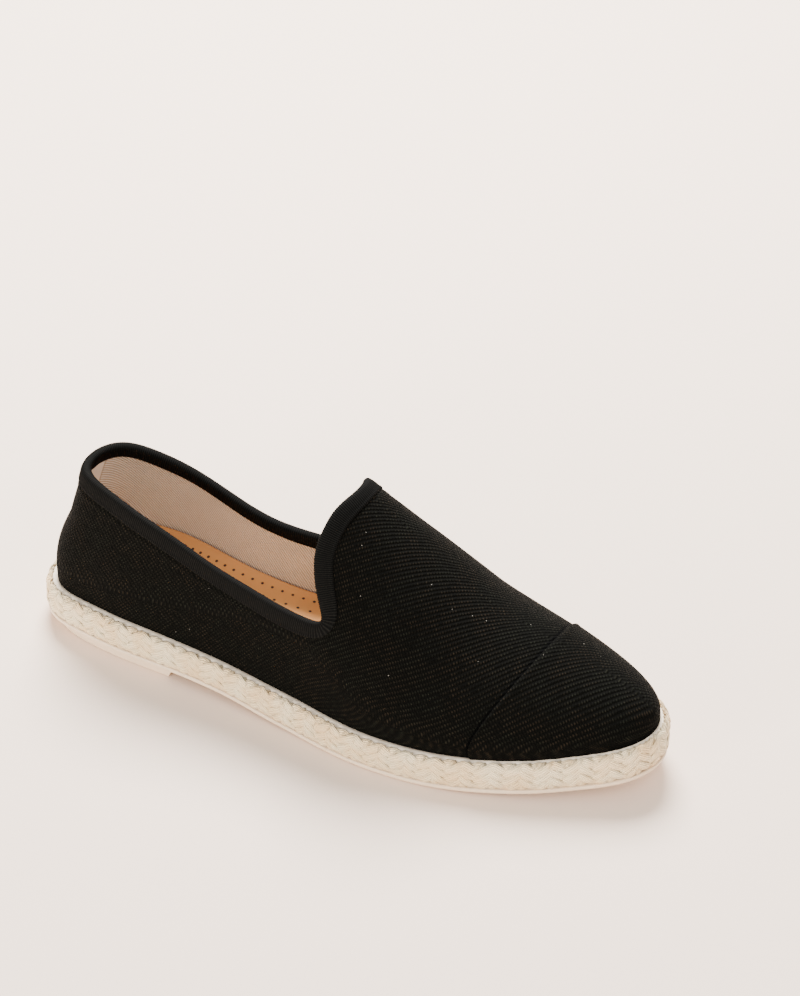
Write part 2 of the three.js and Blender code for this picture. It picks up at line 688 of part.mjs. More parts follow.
// The origin goes under the middle of the shoe
const box = new THREE.Box3().setFromObject(shoe);
const middle = box.getCenter(new THREE.Vector3());
shoe.position.set(-middle.x, -middle.y, -box.min.z);

export default shoe;
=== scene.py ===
"""Looks of a slip-on espadrille: canvas upper, ribbed collar ribbon, plaited band and rubber sole.

Shapes are worked out in millimetres in the shoe's own frame: +X to the toe, +Y to the inner side, +Z up.
"""

import math

import bpy
import numpy as np
from mathutils import Matrix, Vector


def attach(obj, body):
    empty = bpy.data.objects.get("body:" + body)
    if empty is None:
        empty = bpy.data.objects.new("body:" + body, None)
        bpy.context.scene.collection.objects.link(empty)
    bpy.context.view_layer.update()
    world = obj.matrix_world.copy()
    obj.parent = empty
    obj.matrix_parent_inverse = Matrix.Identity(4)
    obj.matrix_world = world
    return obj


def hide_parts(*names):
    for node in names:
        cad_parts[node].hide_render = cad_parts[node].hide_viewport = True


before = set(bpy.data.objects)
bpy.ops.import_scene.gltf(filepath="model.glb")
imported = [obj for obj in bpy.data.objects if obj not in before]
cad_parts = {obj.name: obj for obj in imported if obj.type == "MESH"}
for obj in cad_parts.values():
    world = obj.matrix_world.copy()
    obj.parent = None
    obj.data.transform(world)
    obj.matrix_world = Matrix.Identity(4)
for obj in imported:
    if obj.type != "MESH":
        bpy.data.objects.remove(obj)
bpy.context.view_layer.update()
SEED = 7
random = np.random.default_rng(SEED)
MILLIMETRES = 1000
TINY = 1e-9

# Sole sizes
SOLE_LENGTH = 264.0
BALL_WIDTH = 90.5
HEEL_RADII = {"outer": 31.6, "inner": 40.0}
TOE_RADII = {"outer": 20.5, "inner": 21.8}
PLATFORM_HEIGHT = 17.3
TOE_SPRING = 9.0
LIP_HEIGHT = 1.5
LIP_ROUNDING = 0.8
LIP_INSET = 0.5
TREAD_INSET = 3.0
HEEL_BLOCK_HEIGHT = 5.0
HEEL_BLOCK_LENGTH = 67.0
HEEL_BREAST_SLANT = 2.5
HEEL_BLOCK_INSET = 2.5
HEEL_BACK_INSET = 6.0
HEEL_BACK_SHARE = 0.12
LEDGE_WIDTH = 4.9

# Upper sizes
UPPER_WALL = 2.0
UPPER_SEAT = 0.3
INSTEP_HEIGHT = 98.0
HEEL_HEIGHT = 71.0
HEEL_LEAN = 12.7
HEEL_LEAN_POWER = 1.25
HEEL_BULGE = 2.2
HEEL_BULGE_TOP = 0.59
CROWN_POWER = 1.5
FULLNESS = 1.2
CROWN_SHIFT = 3.0
CAP_LENGTH = 48.4
CAP_SLANT = 0.134
CAP_BOW = 14.6
RIBBON_WIDTH = 6.4

OUTLINE = {
    "along": [0, 0.08, 0.18, 0.32, 0.46, 0.60, 0.72, 0.84, 0.93, 1],
    "outer": [0, 0.284, 0.335, 0.368, 0.433, 0.506, 0.491, 0.391, 0.263, 0],
    "inner": [0, 0.317, 0.343, 0.283, 0.308, 0.462, 0.493, 0.411, 0.293, 0],
}
PLATFORM = {
    "along": [0, 0.1, 0.2, 0.3, 0.45, 0.62, 0.75, 0.85, 0.93, 1],
    "height": [1, 1.046, 1.029, 0.965, 0.85, 0.769, 0.821, 0.965, 1.168, 1.416],
}
TREAD = {
    "along": [0, 0.2, 0.3, 0.36, 0.44, 0.52, 0.6, 0.68, 0.75, 0.85, 0.93, 1],
    "height": [0.45, 0.45, 0.43, 0.34, 0.12, 0.01, 0, 0, 0.09, 0.32, 0.63, 1],
}
LAST = {
    "along": [0, 0.15, 0.3, 0.42, 0.5, 0.6, 0.72, 0.84, 0.93, 1],
    "belly": [0.285, 0.30, 0.36, 0.43, 0.42, 0.265, 0.205, 0.21, 0.245, 0.28],
    "crown": [0.99, 1.01, 1.03, 1.025, 0.985, 0.807, 0.589, 0.482, 0.404, 0.301],
    "fullness": [0.5, 0.83, 0.67, 0.67, 0.75, 0.92, 1, 0.92, 0.75, 0.5],
    "crown_shift": [0, 0, 0.17, 0.17, 0, 0.5, 1, 1, 0.5, 0],
}
COLLAR = {
    "angle": [0, 12, 25, 40, 55, 70, 83, 92, 99, 107, 120, 135, 155, 168, 180],
    "place": [0, 10.5, 25, 41.7, 57.3, 72.7, 85, 91.6, 93.2, 91.5, 89.3, 89.9, 91.1, 91.9, 92.2],
    "outer_rise": [38.3, 39, 38.2, 33.4, 25.7, 15.1, 9.9, 13, 18.8, 24.4, 38.6, 57, 71.7, 80.9, 90],
    "inner_rise": [38.3, 39, 38, 31.5, 21.4, 10, 5.6, 8.8, 15.5, 21.5, 36.5, 53.5, 68, 78.5, 90],
    "outer_leg": [0.88, 0.88, 0.88, 0.88, 0.88, 0.9, 0.95, 0.95, 0.98, 1, 1, 1, 0.95, 0.85, 0.8],
    "inner_leg": [0.88, 0.88, 0.88, 0.88, 0.75, 0.75, 0.8, 0.8, 0.8, 0.9, 1, 1, 1, 1, 1],
}

# Photograph's camera: direction, roll and place in degrees and millimetres
CAMERA_AZIMUTH = 25.264
CAMERA_ELEVATION = 35.049
CAMERA_ROLL = 1.038
CAMERA_PLACE = (456.15, -923.07, 811.01)
CAMERA_LENS = 120.96
SENSOR_WIDTH = 36
FRAME_SHIFT = np.array([0.0, 0.642, 0.0])


def smooth_table(places, values):
    """Smooth curve through a short table, for arrays of places."""
    x = np.array(places, float)
    y = np.array(values, float)
    step = np.diff(x)
    rise = np.diff(y) / step
    slope = np.zeros(len(x))
    slope[1:-1] = (rise[:-1] * step[1:] + rise[1:] * step[:-1]) / (step[1:] + step[:-1])
    slope[0] = ((2 * step[0] + step[1]) * rise[0] - step[0] * rise[1]) / (step[0] + step[1])
    slope[-1] = ((2 * step[-1] + step[-2]) * rise[-1] - step[-1] * rise[-2]) / (step[-1] + step[-2])

    def value(place):
        p = np.clip(np.asarray(place, float), x[0], x[-1])
        i = np.clip(np.searchsorted(x, p) - 1, 0, len(x) - 2)
        h = step[i]
        s = (p - x[i]) / h
        return ((1 + 2 * s) * (1 - s) ** 2 * y[i] + s * (1 - s) ** 2 * h * slope[i]
                + s * s * (3 - 2 * s) * y[i + 1] + s * s * (s - 1) * h * slope[i + 1])

    return value


def side_amplitude(side):
    """Curve of one side's half width over that of an ellipse, with round ends of the given radii."""
    along = np.array(OUTLINE["along"])
    reach = np.sqrt(np.maximum(4 * along * (1 - along), TINY))
    values = np.array(OUTLINE[side]) * BALL_WIDTH / reach
    values[0] = math.sqrt(HEEL_RADII[side] * SOLE_LENGTH / 2)
    values[-1] = math.sqrt(TOE_RADII[side] * SOLE_LENGTH / 2)
    return smooth_table(along, values)


outer_amplitude = side_amplitude("outer")
inner_amplitude = side_amplitude("inner")
platform_share = smooth_table(PLATFORM["along"], PLATFORM["height"])
tread_share = smooth_table(TREAD["along"], TREAD["height"])
turn_places = np.arccos(1 - 2 * np.array(LAST["along"]))
belly_share = smooth_table(turn_places, LAST["belly"])
crown_share = smooth_table(turn_places, LAST["crown"])
fullness_share = smooth_table(turn_places, LAST["fullness"])
crown_shift = smooth_table(turn_places, LAST["crown_shift"])
collar = {name: smooth_table(COLLAR["angle"], COLLAR[name]) for name in COLLAR if name != "angle"}


def share_at(x):
    return np.clip(x / SOLE_LENGTH + 0.5, 0, 1)


def platform_top(x):
    return PLATFORM_HEIGHT * platform_share(share_at(x))


def tread_height(x):
    return np.maximum(0, TOE_SPRING * tread_share(share_at(x)))


def braid_bottom(x):
    return tread_height(x) + LIP_ROUNDING + LIP_HEIGHT


def outline_point(angle):
    t = (1 - np.cos(angle)) / 2
    amplitude = np.where(np.sin(angle) > 0, outer_amplitude(t), inner_amplitude(t))
    return np.stack([(t - 0.5) * SOLE_LENGTH, -amplitude * np.sin(angle)], -1)


def outline_at(angle, inset):
    """Sole outline moved inward by an inset."""
    nudge = 0.01
    tangent = outline_point(angle + nudge) - outline_point(angle - nudge)
    tangent /= np.linalg.norm(tangent, axis=-1, keepdims=True)
    inset = np.asarray(inset, float)[..., None]
    return outline_point(angle) + inset * np.stack([-tangent[..., 1], tangent[..., 0]], -1)


def angles(count):
    return np.arange(count) / count * 2 * math.pi


# Column angle at an even share of the way round the sole
EVEN_STEPS = 2001
even_angles = np.linspace(0, 2 * math.pi, EVEN_STEPS)
even_steps = np.linalg.norm(np.diff(outline_point(even_angles), axis=0), axis=1)
even_lengths = np.concatenate([[0], np.cumsum(even_steps)])
GIRTH = even_lengths[-1]


def angle_at_length(length):
    return np.interp(np.mod(length, GIRTH), even_lengths, even_angles)


# The last
UPPER_REACH = SOLE_LENGTH / 2 - LEDGE_WIDTH
FOOT_LINE_STEPS = 121
FOOT_LINE_MARGIN = 0.02


def foot_line_table(side):
    angle = math.pi * np.linspace(FOOT_LINE_MARGIN, 1 - FOOT_LINE_MARGIN, FOOT_LINE_STEPS)
    plan = outline_at(2 * math.pi - angle if side > 0 else angle, np.full(FOOT_LINE_STEPS, LEDGE_WIDTH))
    own = np.arccos(np.clip(-plan[:, 0] / UPPER_REACH, -1, 1))
    order = np.argsort(own)
    return smooth_table(own[order], (np.abs(plan[:, 1]) / np.sin(own))[order])


foot_line_outer = foot_line_table(-1)
foot_line_inner = foot_line_table(1)


def lean_at(z):
    """How far the heel's face is moved back or forward at a height."""
    full = (z - PLATFORM_HEIGHT) / (HEEL_HEIGHT - PLATFORM_HEIGHT)
    bulge = np.sin(math.pi * np.clip(full / HEEL_BULGE_TOP, 0, 1))
    return HEEL_LEAN * np.maximum(0, full) ** HEEL_LEAN_POWER - HEEL_BULGE * bulge


def upright_place(x, z):
    """Place along the last before the heel's lean."""
    bend = lean_at(z) / UPPER_REACH ** 2
    safe = np.where(np.abs(bend) < TINY, TINY, bend)
    solved = (np.sqrt(np.maximum(1 + 4 * safe * x, 0)) - 1) / (2 * safe)
    return np.where((x >= 0) | (np.abs(bend) < TINY), x, solved)


def turn_at(p):
    """Turn along the upright last at each point, and how far the point is past its ends."""
    upright = upright_place(p[..., 0], p[..., 2])
    turn = np.arccos(-np.clip(upright / UPPER_REACH, -1, 1))
    return turn, np.maximum(np.abs(upright) - UPPER_REACH, 0)


def heights(turn):
    """Heights of the last's foot line, widest line and ridge."""
    foot = platform_top(-UPPER_REACH * np.cos(turn))
    return foot, INSTEP_HEIGHT * belly_share(turn), INSTEP_HEIGHT * crown_share(turn)


def widest_half(turn, side):
    foot_half = np.where(side > 0, foot_line_inner(turn), foot_line_outer(turn)) * np.sin(turn)
    return foot_half, FULLNESS * fullness_share(turn) * np.sin(turn)


def section_at(turn, z, side):
    """Centre and half width of the upright last's section at a height."""
    foot, belly, crown = heights(turn)
    foot_half, full = widest_half(turn, side)
    tuck = np.clip((belly - z) / (belly - foot), 0, 1)
    share = np.clip((z - belly) / (crown - belly), 0, 1)
    low = foot_half + full * (1 - tuck * tuck)
    high = (foot_half + full) * np.sqrt(np.maximum(1 - share ** CROWN_POWER, 0))
    return np.where(z <= belly, 0, CROWN_SHIFT * crown_shift(turn) * share), np.where(z <= belly, low, high)


def depth_inside(p):
    turn, beyond = turn_at(p)
    centre, half = section_at(turn, p[..., 2], np.sign(p[..., 1]))
    return half - np.abs(p[..., 1] - centre) - beyond


def level_inside(p):
    """Smooth measure of the last, zero on its face, also across the ridge of the crown."""
    turn, beyond = turn_at(p)
    foot, belly, crown = heights(turn)
    foot_half, full = widest_half(turn, np.sign(p[..., 1]))
    wide = np.maximum(foot_half + full, 1)
    share = np.maximum((p[..., 2] - belly) / (crown - belly), 0)
    tuck = np.clip((belly - p[..., 2]) / (belly - foot), 0, 1)
    across = (np.abs(p[..., 1] - CROWN_SHIFT * crown_shift(turn) * share) + beyond) / wide
    high = 1 - across ** 2 - share ** CROWN_POWER
    low = 2 * ((foot_half + full * (1 - tuck * tuck)) / wide - across)
    return np.where(share > 0, high, low)


def level_slope(p):
    """Gradient of the smooth measure."""
    step = 0.4
    slope = np.empty_like(p)
    for axis in range(3):
        move = np.zeros(3)
        move[axis] = step
        slope[..., axis] = (level_inside(p + move) - level_inside(p - move)) / (2 * step)
    return slope


HALVINGS = 26


def cast_out(origin, direction):
    """Points where rays from inside the last leave it."""
    near = np.zeros(direction.shape[:-1])
    far = np.full(direction.shape[:-1], SOLE_LENGTH)
    for _ in range(HALVINGS):
        middle = (near + far) / 2
        inside = depth_inside(origin + direction * middle[..., None]) > 0
        near = np.where(inside, middle, near)
        far = np.where(inside, far, middle)
    return origin + direction * near[..., None]


def half_turn_degrees(angle):
    """Degrees from the heel, counted the same on both sides."""
    return np.degrees(np.minimum(angle, 2 * math.pi - angle))


def collar_point(angle):
    side = np.where(angle <= math.pi, -1, 1)
    degrees = half_turn_degrees(angle)
    turn = np.radians(collar["place"](degrees))
    rise = np.radians(np.where(side < 0, collar["outer_rise"](degrees), collar["inner_rise"](degrees)))
    _, belly, crown = heights(turn)
    z = belly + (crown - belly) * np.sin(rise)
    centre, half = section_at(turn, z, side)
    x = -UPPER_REACH * np.cos(turn)
    x = np.where(x < 0, x + lean_at(z) * (x / UPPER_REACH) ** 2, x)
    return np.stack([x, centre + side * half, z], -1)


COLUMNS = 480
SAMPLES = 72
EDGE_SPREAD = 5.0
# Where the rays start: shares of the sole's length and of the instep's height
RAYS_BACK = -0.36
RAYS_FRONT = 0.14
RAYS_UP = 0.32


def unit(v):
    return v / np.maximum(np.linalg.norm(v, axis=-1, keepdims=True), TINY)


def ripple(place, waves):
    """Sum of waves, each with its height, turns and phase."""
    return sum(height * np.sin(place * turns + phase) for height, turns, phase in waves)


def smooth_round(values, spread):
    """Values of a closed row of columns, averaged over their neighbours."""
    reach = int(3 * spread)
    step = np.arange(-reach, reach + 1)
    weight = np.exp(-(step / spread) ** 2 / 2)
    return sum(w * np.roll(values, -s, 0) for w, s in zip(weight / weight.sum(), step))


def lengths_along(points, axis):
    """Distance run along an axis of a grid of points, from zero."""
    steps = np.linalg.norm(np.diff(points, axis=axis), axis=-1).cumsum(axis)
    return np.concatenate([np.zeros_like(steps.take([0], axis)), steps], axis)


def upper_paths():
    """Outer face of the upper: paths from foot line to collar, and the distance along each."""
    angle = angles(COLUMNS)
    plan = outline_at(angle, np.full(COLUMNS, LEDGE_WIDTH))
    foot = np.column_stack([plan, platform_top(plan[:, 0]) + UPPER_SEAT])
    edge = smooth_round(collar_point(angle), EDGE_SPREAD)
    origin = np.zeros((COLUMNS, 3))
    origin[:, 0] = np.clip(foot[:, 0], RAYS_BACK * SOLE_LENGTH, RAYS_FRONT * SOLE_LENGTH)
    origin[:, 2] = RAYS_UP * INSTEP_HEIGHT
    start = unit(foot - origin)
    end = unit(edge - origin)
    opening = np.arccos(np.clip((start * end).sum(-1), -1, 1))[:, None, None]
    share = (np.arange(SAMPLES + 1) / SAMPLES)[None, :, None]
    direction = unit(start[:, None] * np.sin((1 - share) * opening) + end[:, None] * np.sin(share * opening))
    paths = cast_out(origin[:, None], direction)
    paths[:, 0] = foot
    paths[:, -1] = edge
    return paths, lengths_along(paths, 1)


paths, path_lengths = upper_paths()


def read_columns(at, places, values):
    """Each column's row of vectors, read at other places along it."""
    out = np.empty(at.shape + (3,))
    for column in range(len(at)):
        for axis in range(3):
            out[column, :, axis] = np.interp(at[column], places[column], values[column, :, axis])
    return out


def along_paths(distance):
    """Points at given distances from the foot line: one row of distances for each column."""
    return read_columns(distance, path_lengths, paths)


def grid_normals(grid):
    """Outward normals of a grid that closes on itself round the shoe."""
    forward = np.roll(grid, -1, 0) - np.roll(grid, 1, 0)
    return unit(np.cross(forward, np.gradient(grid, axis=1)))


def periodic(array, place):
    """Values of a closed row of columns at fractional columns."""
    low = np.floor(place).astype(int)
    part = (place - low).reshape((-1,) + (1,) * (array.ndim - 1))
    return array[low % len(array)] * (1 - part) + array[(low + 1) % len(array)] * part


# Cloth coordinates: true lengths along and across the last, for weave and twill
CLOTH_TURNS = 240
CLOTH_LEVELS = 80
CLOTH_END = 0.01


def cloth_tables():
    turn = np.linspace(CLOTH_END, math.pi - CLOTH_END, CLOTH_TURNS)[:, None]
    level = np.linspace(0, 2, CLOTH_LEVELS)[None, :]
    foot, belly, crown = heights(turn)
    high = belly + (crown - belly) * (1 - np.minimum(level, 1) ** 2) ** (1 / CROWN_POWER)
    z = np.where(level < 1, high, belly - (belly - foot) * (level - 1))
    tables = []
    for side in (-1, 1):
        centre, half = section_at(turn + 0 * level, z, side)
        p = np.stack([-UPPER_REACH * np.cos(turn) + 0 * level, centre + side * half, z], -1)
        u = lengths_along(p, 0)
        tables.append(np.stack([u - u[CLOTH_TURNS // 2], lengths_along(p, 1)], -1))
    return tables


cloth = cloth_tables()


def cloth_place(p):
    """Cloth coordinates in metres of points on the last."""
    turn, _ = turn_at(p)
    foot, belly, crown = heights(turn)
    share = np.clip((p[..., 2] - belly) / (crown - belly), 0, 1)
    tuck = np.clip((belly - p[..., 2]) / (belly - foot), 0, 1)
    level = np.where(p[..., 2] > belly, np.sqrt(np.maximum(1 - share ** CROWN_POWER, 0)), 1 + tuck)
    i = np.clip((turn - CLOTH_END) / (math.pi - 2 * CLOTH_END), 0, 1) * (CLOTH_TURNS - 1)
    j = np.clip(level / 2, 0, 1) * (CLOTH_LEVELS - 1)
    i0 = np.minimum(i.astype(int), CLOTH_TURNS - 2)
    j0 = np.minimum(j.astype(int), CLOTH_LEVELS - 2)
    a = (i - i0)[..., None]
    b = (j - j0)[..., None]

    def read(table):
        low = table[i0, j0] * (1 - b) + table[i0, j0 + 1] * b
        high = table[i0 + 1, j0] * (1 - b) + table[i0 + 1, j0 + 1] * b
        return low * (1 - a) + high * a

    return np.where(p[..., 1:2] < 0, read(cloth[0]), read(cloth[1])) / MILLIMETRES


# Meshes
def add_piece(name, points, faces, material, replaces=(), uv=None, smooth=True):
    """A mesh in the part's frame, in metres, that rides on the shoe."""
    mesh = bpy.data.meshes.new(name)
    co = (np.asarray(points, float).reshape(-1, 3) + FRAME_SHIFT) / MILLIMETRES
    mesh.from_pydata(co.tolist(), [], np.asarray(faces).tolist() if not isinstance(faces, list) else faces)
    if uv is not None:
        layer = mesh.uv_layers.new(name="cloth")
        index = np.empty(len(mesh.loops), int)
        mesh.loops.foreach_get("vertex_index", index)
        layer.data.foreach_set("uv", np.asarray(uv, float).reshape(-1, 2)[index].ravel())
    if smooth:
        mesh.polygons.foreach_set("use_smooth", np.ones(len(mesh.polygons), bool))
    mesh.materials.append(material)
    piece = bpy.data.objects.new(name, mesh)
    bpy.context.scene.collection.objects.link(piece)
    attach(piece, "root")
    if replaces:
        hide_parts(*replaces)


def grid_faces(rows, columns, close_rows=True, close_columns=False):
    """Quads of a grid of points stored row by row."""
    r = np.arange(rows if close_rows else rows - 1)
    c = np.arange(columns if close_columns else columns - 1)
    r, c = np.meshgrid(r, c, indexing="ij")
    r2 = (r + 1) % rows
    c2 = (c + 1) % columns
    quads = np.stack([r * columns + c, r2 * columns + c, r2 * columns + c2, r * columns + c2], -1)
    return quads.reshape(-1, 4)


def strip_faces(count, start, flip=False):
    """Quads across a closed ring of an even count of points, from one side to the other."""
    faces = []
    for i in range(count // 2):
        face = [i, i + 1, (count - i - 1) % count, (count - i) % count]
        face = [start + f for f in dict.fromkeys(face)]
        faces.append(face[::-1] if flip else face)
    return [f for f in faces if len(f) > 2]


def ring(inset, height, columns=COLUMNS):
    plan = outline_at(angles(columns), np.full(columns, float(inset)))
    return np.column_stack([plan, height(plan[:, 0])])


def stack_of_rings(rings):
    """Closed solid through rings of points, from the lowest up."""
    columns = len(rings[0])
    faces = []
    for row in range(len(rings) - 1):
        low = row * columns
        for c in range(columns):
            d = (c + 1) % columns
            faces.append([low + c, low + d, low + columns + d, low + columns + c])
    faces += strip_faces(columns, 0, flip=True)
    faces += strip_faces(columns, (len(rings) - 1) * columns)
    return np.concatenate(rings), faces


def tube(centres, across, outward, half_width, half_thickness, sides, closed=True):
    """Flattened tube along a line, with its section's directions given at each point."""
    wide = np.reshape(half_width, (-1, 1)) * np.cos(angles(sides))
    thick = np.reshape(half_thickness, (-1, 1)) * np.sin(angles(sides))
    points = centres[:, None] + across[:, None] * wide[..., None] + outward[:, None] * thick[..., None]
    return points, grid_faces(len(centres), sides, close_rows=closed, close_columns=True).tolist()


def joined(parts):
    """Points and faces of several meshes as one mesh."""
    points = []
    faces = []
    start = 0
    for part_points, part_faces in parts:
        points.append(part_points.reshape(-1, 3))
        faces += [[start + corner for corner in face] for face in part_faces]
        start += len(points[-1])
    return np.concatenate(points), faces


# Materials
TONES = {
    "canvas": (0.002, 0.002, 0.0015),
    # painted shade in the gaps between the weave's knots
    "canvas gap shade": (0.0016, 0.0016, 0.0012),
    "canvas green": (0.011, 0.012, 0.0085),
    "canvas brown": (0.019, 0.014, 0.009),
    # painted shadow of the toe cap's step
    "canvas seam shadow": (0.0003, 0.0003, 0.0003),
    "lint": (0.4, 0.38, 0.34),
    "ribbon": (0.003, 0.003, 0.003),
    # painted shade in the gaps between the ribbon's ribs
    "ribbon gap shade": (0.0006, 0.0006, 0.0006),
    "ribbon dark": (0.0038, 0.004, 0.0037),
    "ribbon light": (0.0072, 0.0068, 0.0056),
    "twill": (0.60, 0.48, 0.38),
    "twill dark": (0.68, 0.60, 0.51),
    "twill light": (0.77, 0.69, 0.60),
    # painted shade in the twill's grooves
    "twill groove shade": (0.38, 0.31, 0.24),
    "twill seam": (0.30, 0.21, 0.14),
    "leather": (0.55, 0.25, 0.08),
    "leather dark": (0.70, 0.33, 0.11),
    "leather light": (0.80, 0.40, 0.145),
    "leather heel": (0.36, 0.15, 0.045),
    # painted shade seen inside the sock's punched holes
    "hole shade": (0.035, 0.018, 0.01),
    "jute": (0.90, 0.74, 0.53),
    "jute dark": (0.96, 0.69, 0.37),
    "jute light": (1.0, 0.86, 0.56),
    "jute fibre": (0.76, 0.57, 0.36),
    # painted shade in the notches between the yarns
    "jute groove shade": (0.60, 0.41, 0.23),
    "jute core": (0.62, 0.47, 0.30),
    "jute hair": (0.86, 0.72, 0.52),
    "ledge": (0.86, 0.81, 0.74),
    "ledge dark": (0.93, 0.77, 0.59),
    "ledge light": (1.0, 0.88, 0.71),
    "rubber": (0.80, 0.69, 0.55),
    "rubber dark": (0.76, 0.59, 0.41),
    "rubber light": (0.84, 0.68, 0.50),
    "rubber dirt": (0.42, 0.33, 0.23),
    "floor": (0.93, 0.775, 0.665),
}
# Noise: scale and detail
GRAINS = {
    "canvas drift": (130, 2),
    "canvas patches": (90, 3),
    "canvas knots": (420, 1),
    "canvas fuzz": (2500, 2),
    "ribbon patches": (150, 3),
    "ribbon fuzz": (3000, 2),
    "twill patches": (90, 3),
    "twill fuzz": (2200, 2),
    "leather patches": (70, 4),
    "leather grain": (1600, 4),
    "jute patches": (110, 3),
    "ledge patches": (220, 4),
    "ledge lumps": (420, 4),
    "rubber patches": (35, 4),
    "rubber dirt": (260, 5),
    "rubber grain": (900, 3),
    "plain grain": (800, 2),
}
# Bumps: distance in metres and strength
BUMPS = {
    "canvas knots": (0.0003, 0.9),
    "canvas fuzz": (0.00008, 0.4),
    "ribbon fuzz": (0.00006, 0.5),
    "twill ribs": (0.0002, 0.7),
    "twill fuzz": (0.00006, 0.4),
    "leather grain": (0.00006, 0.5),
    "jute yarns": (0.00025, 0.8),
    "jute fibres": (0.0002, 0.6),
    "ledge lumps": (0.0003, 0.6),
    "rubber grain": (0.00005, 0.4),
    "plain grain": (0.00004, 0.3),
}


class Shader:
    """A principled material with short helpers for its nodes."""

    def __init__(self, name, tone, roughness, **inputs):
        self.material = bpy.data.materials.new(name)
        self.material.use_nodes = True
        self.tree = self.material.node_tree
        self.main = self.tree.nodes["Principled BSDF"]
        self.main.inputs["Base Color"].default_value = (*TONES[tone], 1)
        self.main.inputs["Roughness"].default_value = roughness
        for key, value in inputs.items():
            self.main.inputs[key.replace("_", " ")].default_value = value

    def node(self, kind, **inputs):
        node = self.tree.nodes.new(kind)
        for key, value in inputs.items():
            self.put(node.inputs[key], value)
        return node

    def put(self, socket, value):
        if isinstance(value, bpy.types.NodeSocket):
            self.tree.links.new(value, socket)
        else:
            socket.default_value = value

    def math(self, operation, a, b=0.0):
        node = self.tree.nodes.new("ShaderNodeMath")
        node.operation = operation
        self.put(node.inputs[0], a)
        self.put(node.inputs[1], b)
        return node.outputs[0]

    def object_place(self):
        return self.node("ShaderNodeTexCoord").outputs["Object"]

    def cloth_place(self):
        node = self.tree.nodes.new("ShaderNodeUVMap")
        node.uv_map = "cloth"
        return node.outputs[0]

    def noise(self, scale, detail, place=None):
        node = self.node("ShaderNodeTexNoise", Scale=scale, Detail=detail)
        self.tree.links.new(place or self.object_place(), node.inputs["Vector"])
        return node.outputs["Fac"]

    def grain(self, name):
        return self.noise(*GRAINS[name])

    def parts(self, vector):
        node = self.node("ShaderNodeSeparateXYZ", Vector=vector)
        return node.outputs[0], node.outputs[1], node.outputs[2]

    def wave(self, value, pitch, phase=0.0):
        turned = self.math("MULTIPLY_ADD", value, 2 * math.pi / pitch)
        self.put(turned.node.inputs[2], phase)
        return self.math("SINE", turned)

    def ramp(self, value, low, high):
        """Zero to one between two values, clipped."""
        node = self.node("ShaderNodeValToRGB", Fac=value)
        node.color_ramp.elements[0].position = low
        node.color_ramp.elements[1].position = high
        node.color_ramp.elements[0].color = (0, 0, 0, 1)
        node.color_ramp.elements[1].color = (1, 1, 1, 1)
        return node.outputs["Color"]

    def mix(self, factor, a, b):
        """Blend of two colours, each the name of a tone or a socket."""
        node = self.tree.nodes.new("ShaderNodeMix")
        node.data_type = "RGBA"
        self.put(node.inputs[0], factor)
        self.put(node.inputs[6], (*TONES[a], 1) if isinstance(a, str) else a)
        self.put(node.inputs[7], (*TONES[b], 1) if isinstance(b, str) else b)
        return node.outputs[2]

    def color(self, value):
        self.put(self.main.inputs["Base Color"], value)

    def bump(self, height, name):
        distance, strength = BUMPS[name]
        node = self.node("ShaderNodeBump", Height=height, Distance=distance, Strength=strength)
        previous = self.main.inputs["Normal"]
        if previous.is_linked:
            self.tree.links.new(previous.links[0].from_socket, node.inputs["Normal"])
        self.tree.links.new(node.outputs[0], previous)


# Sizes in the materials, in metres
WEAVE_PITCH = 0.0020
WEAVE_DRIFT = 0.0012
SEAM_HALF = 0.0006
TWILL_PITCH = 0.00105
TWILL_SEAM_HALF = 0.0004
HEEL_PATCH_HALF = 0.0095
# Voronoi cells whose centres are specks of lint
LINT_SCALE = 150.0
LINT_RADIUS = 0.028
LINT_SHARE = 0.55
# Slope of the twill's ribs
TWILL_FORWARD = 0.8
TWILL_UP = 0.6
# How fast the leather darkens to the heel
HEEL_DARKENING = -9.0
HEEL_DARK_SHARE = 0.6
YARNS = 12
FIBRE_ALONG = 400.0
FIBRE_ROUND = 26.0
FIBRE_SHARE = 0.3
# Strength of the painted shade between the yarns
GROOVE_SHADE_SHARE = 0.4
DIRT_SHARE = 0.18


def seam_shade(s):
    """Painted shadow: thin dark line just behind the toe cap's edge, where the cap's step casts shade."""
    x, y, _ = s.parts(s.object_place())
    half = BALL_WIDTH / 2 / MILLIMETRES
    bow = s.math("MULTIPLY", s.math("MULTIPLY", y, y), CAP_BOW / MILLIMETRES / half ** 2)
    line = s.math("SUBTRACT", s.math("MULTIPLY", y, CAP_SLANT), bow)
    seam_place = (SOLE_LENGTH / 2 - CAP_LENGTH) / MILLIMETRES
    ahead = s.math("SUBTRACT", s.math("SUBTRACT", x, seam_place), line)
    near = s.math("ABSOLUTE", s.math("ADD", ahead, SEAM_HALF))
    return s.math("LESS_THAN", near, SEAM_HALF)


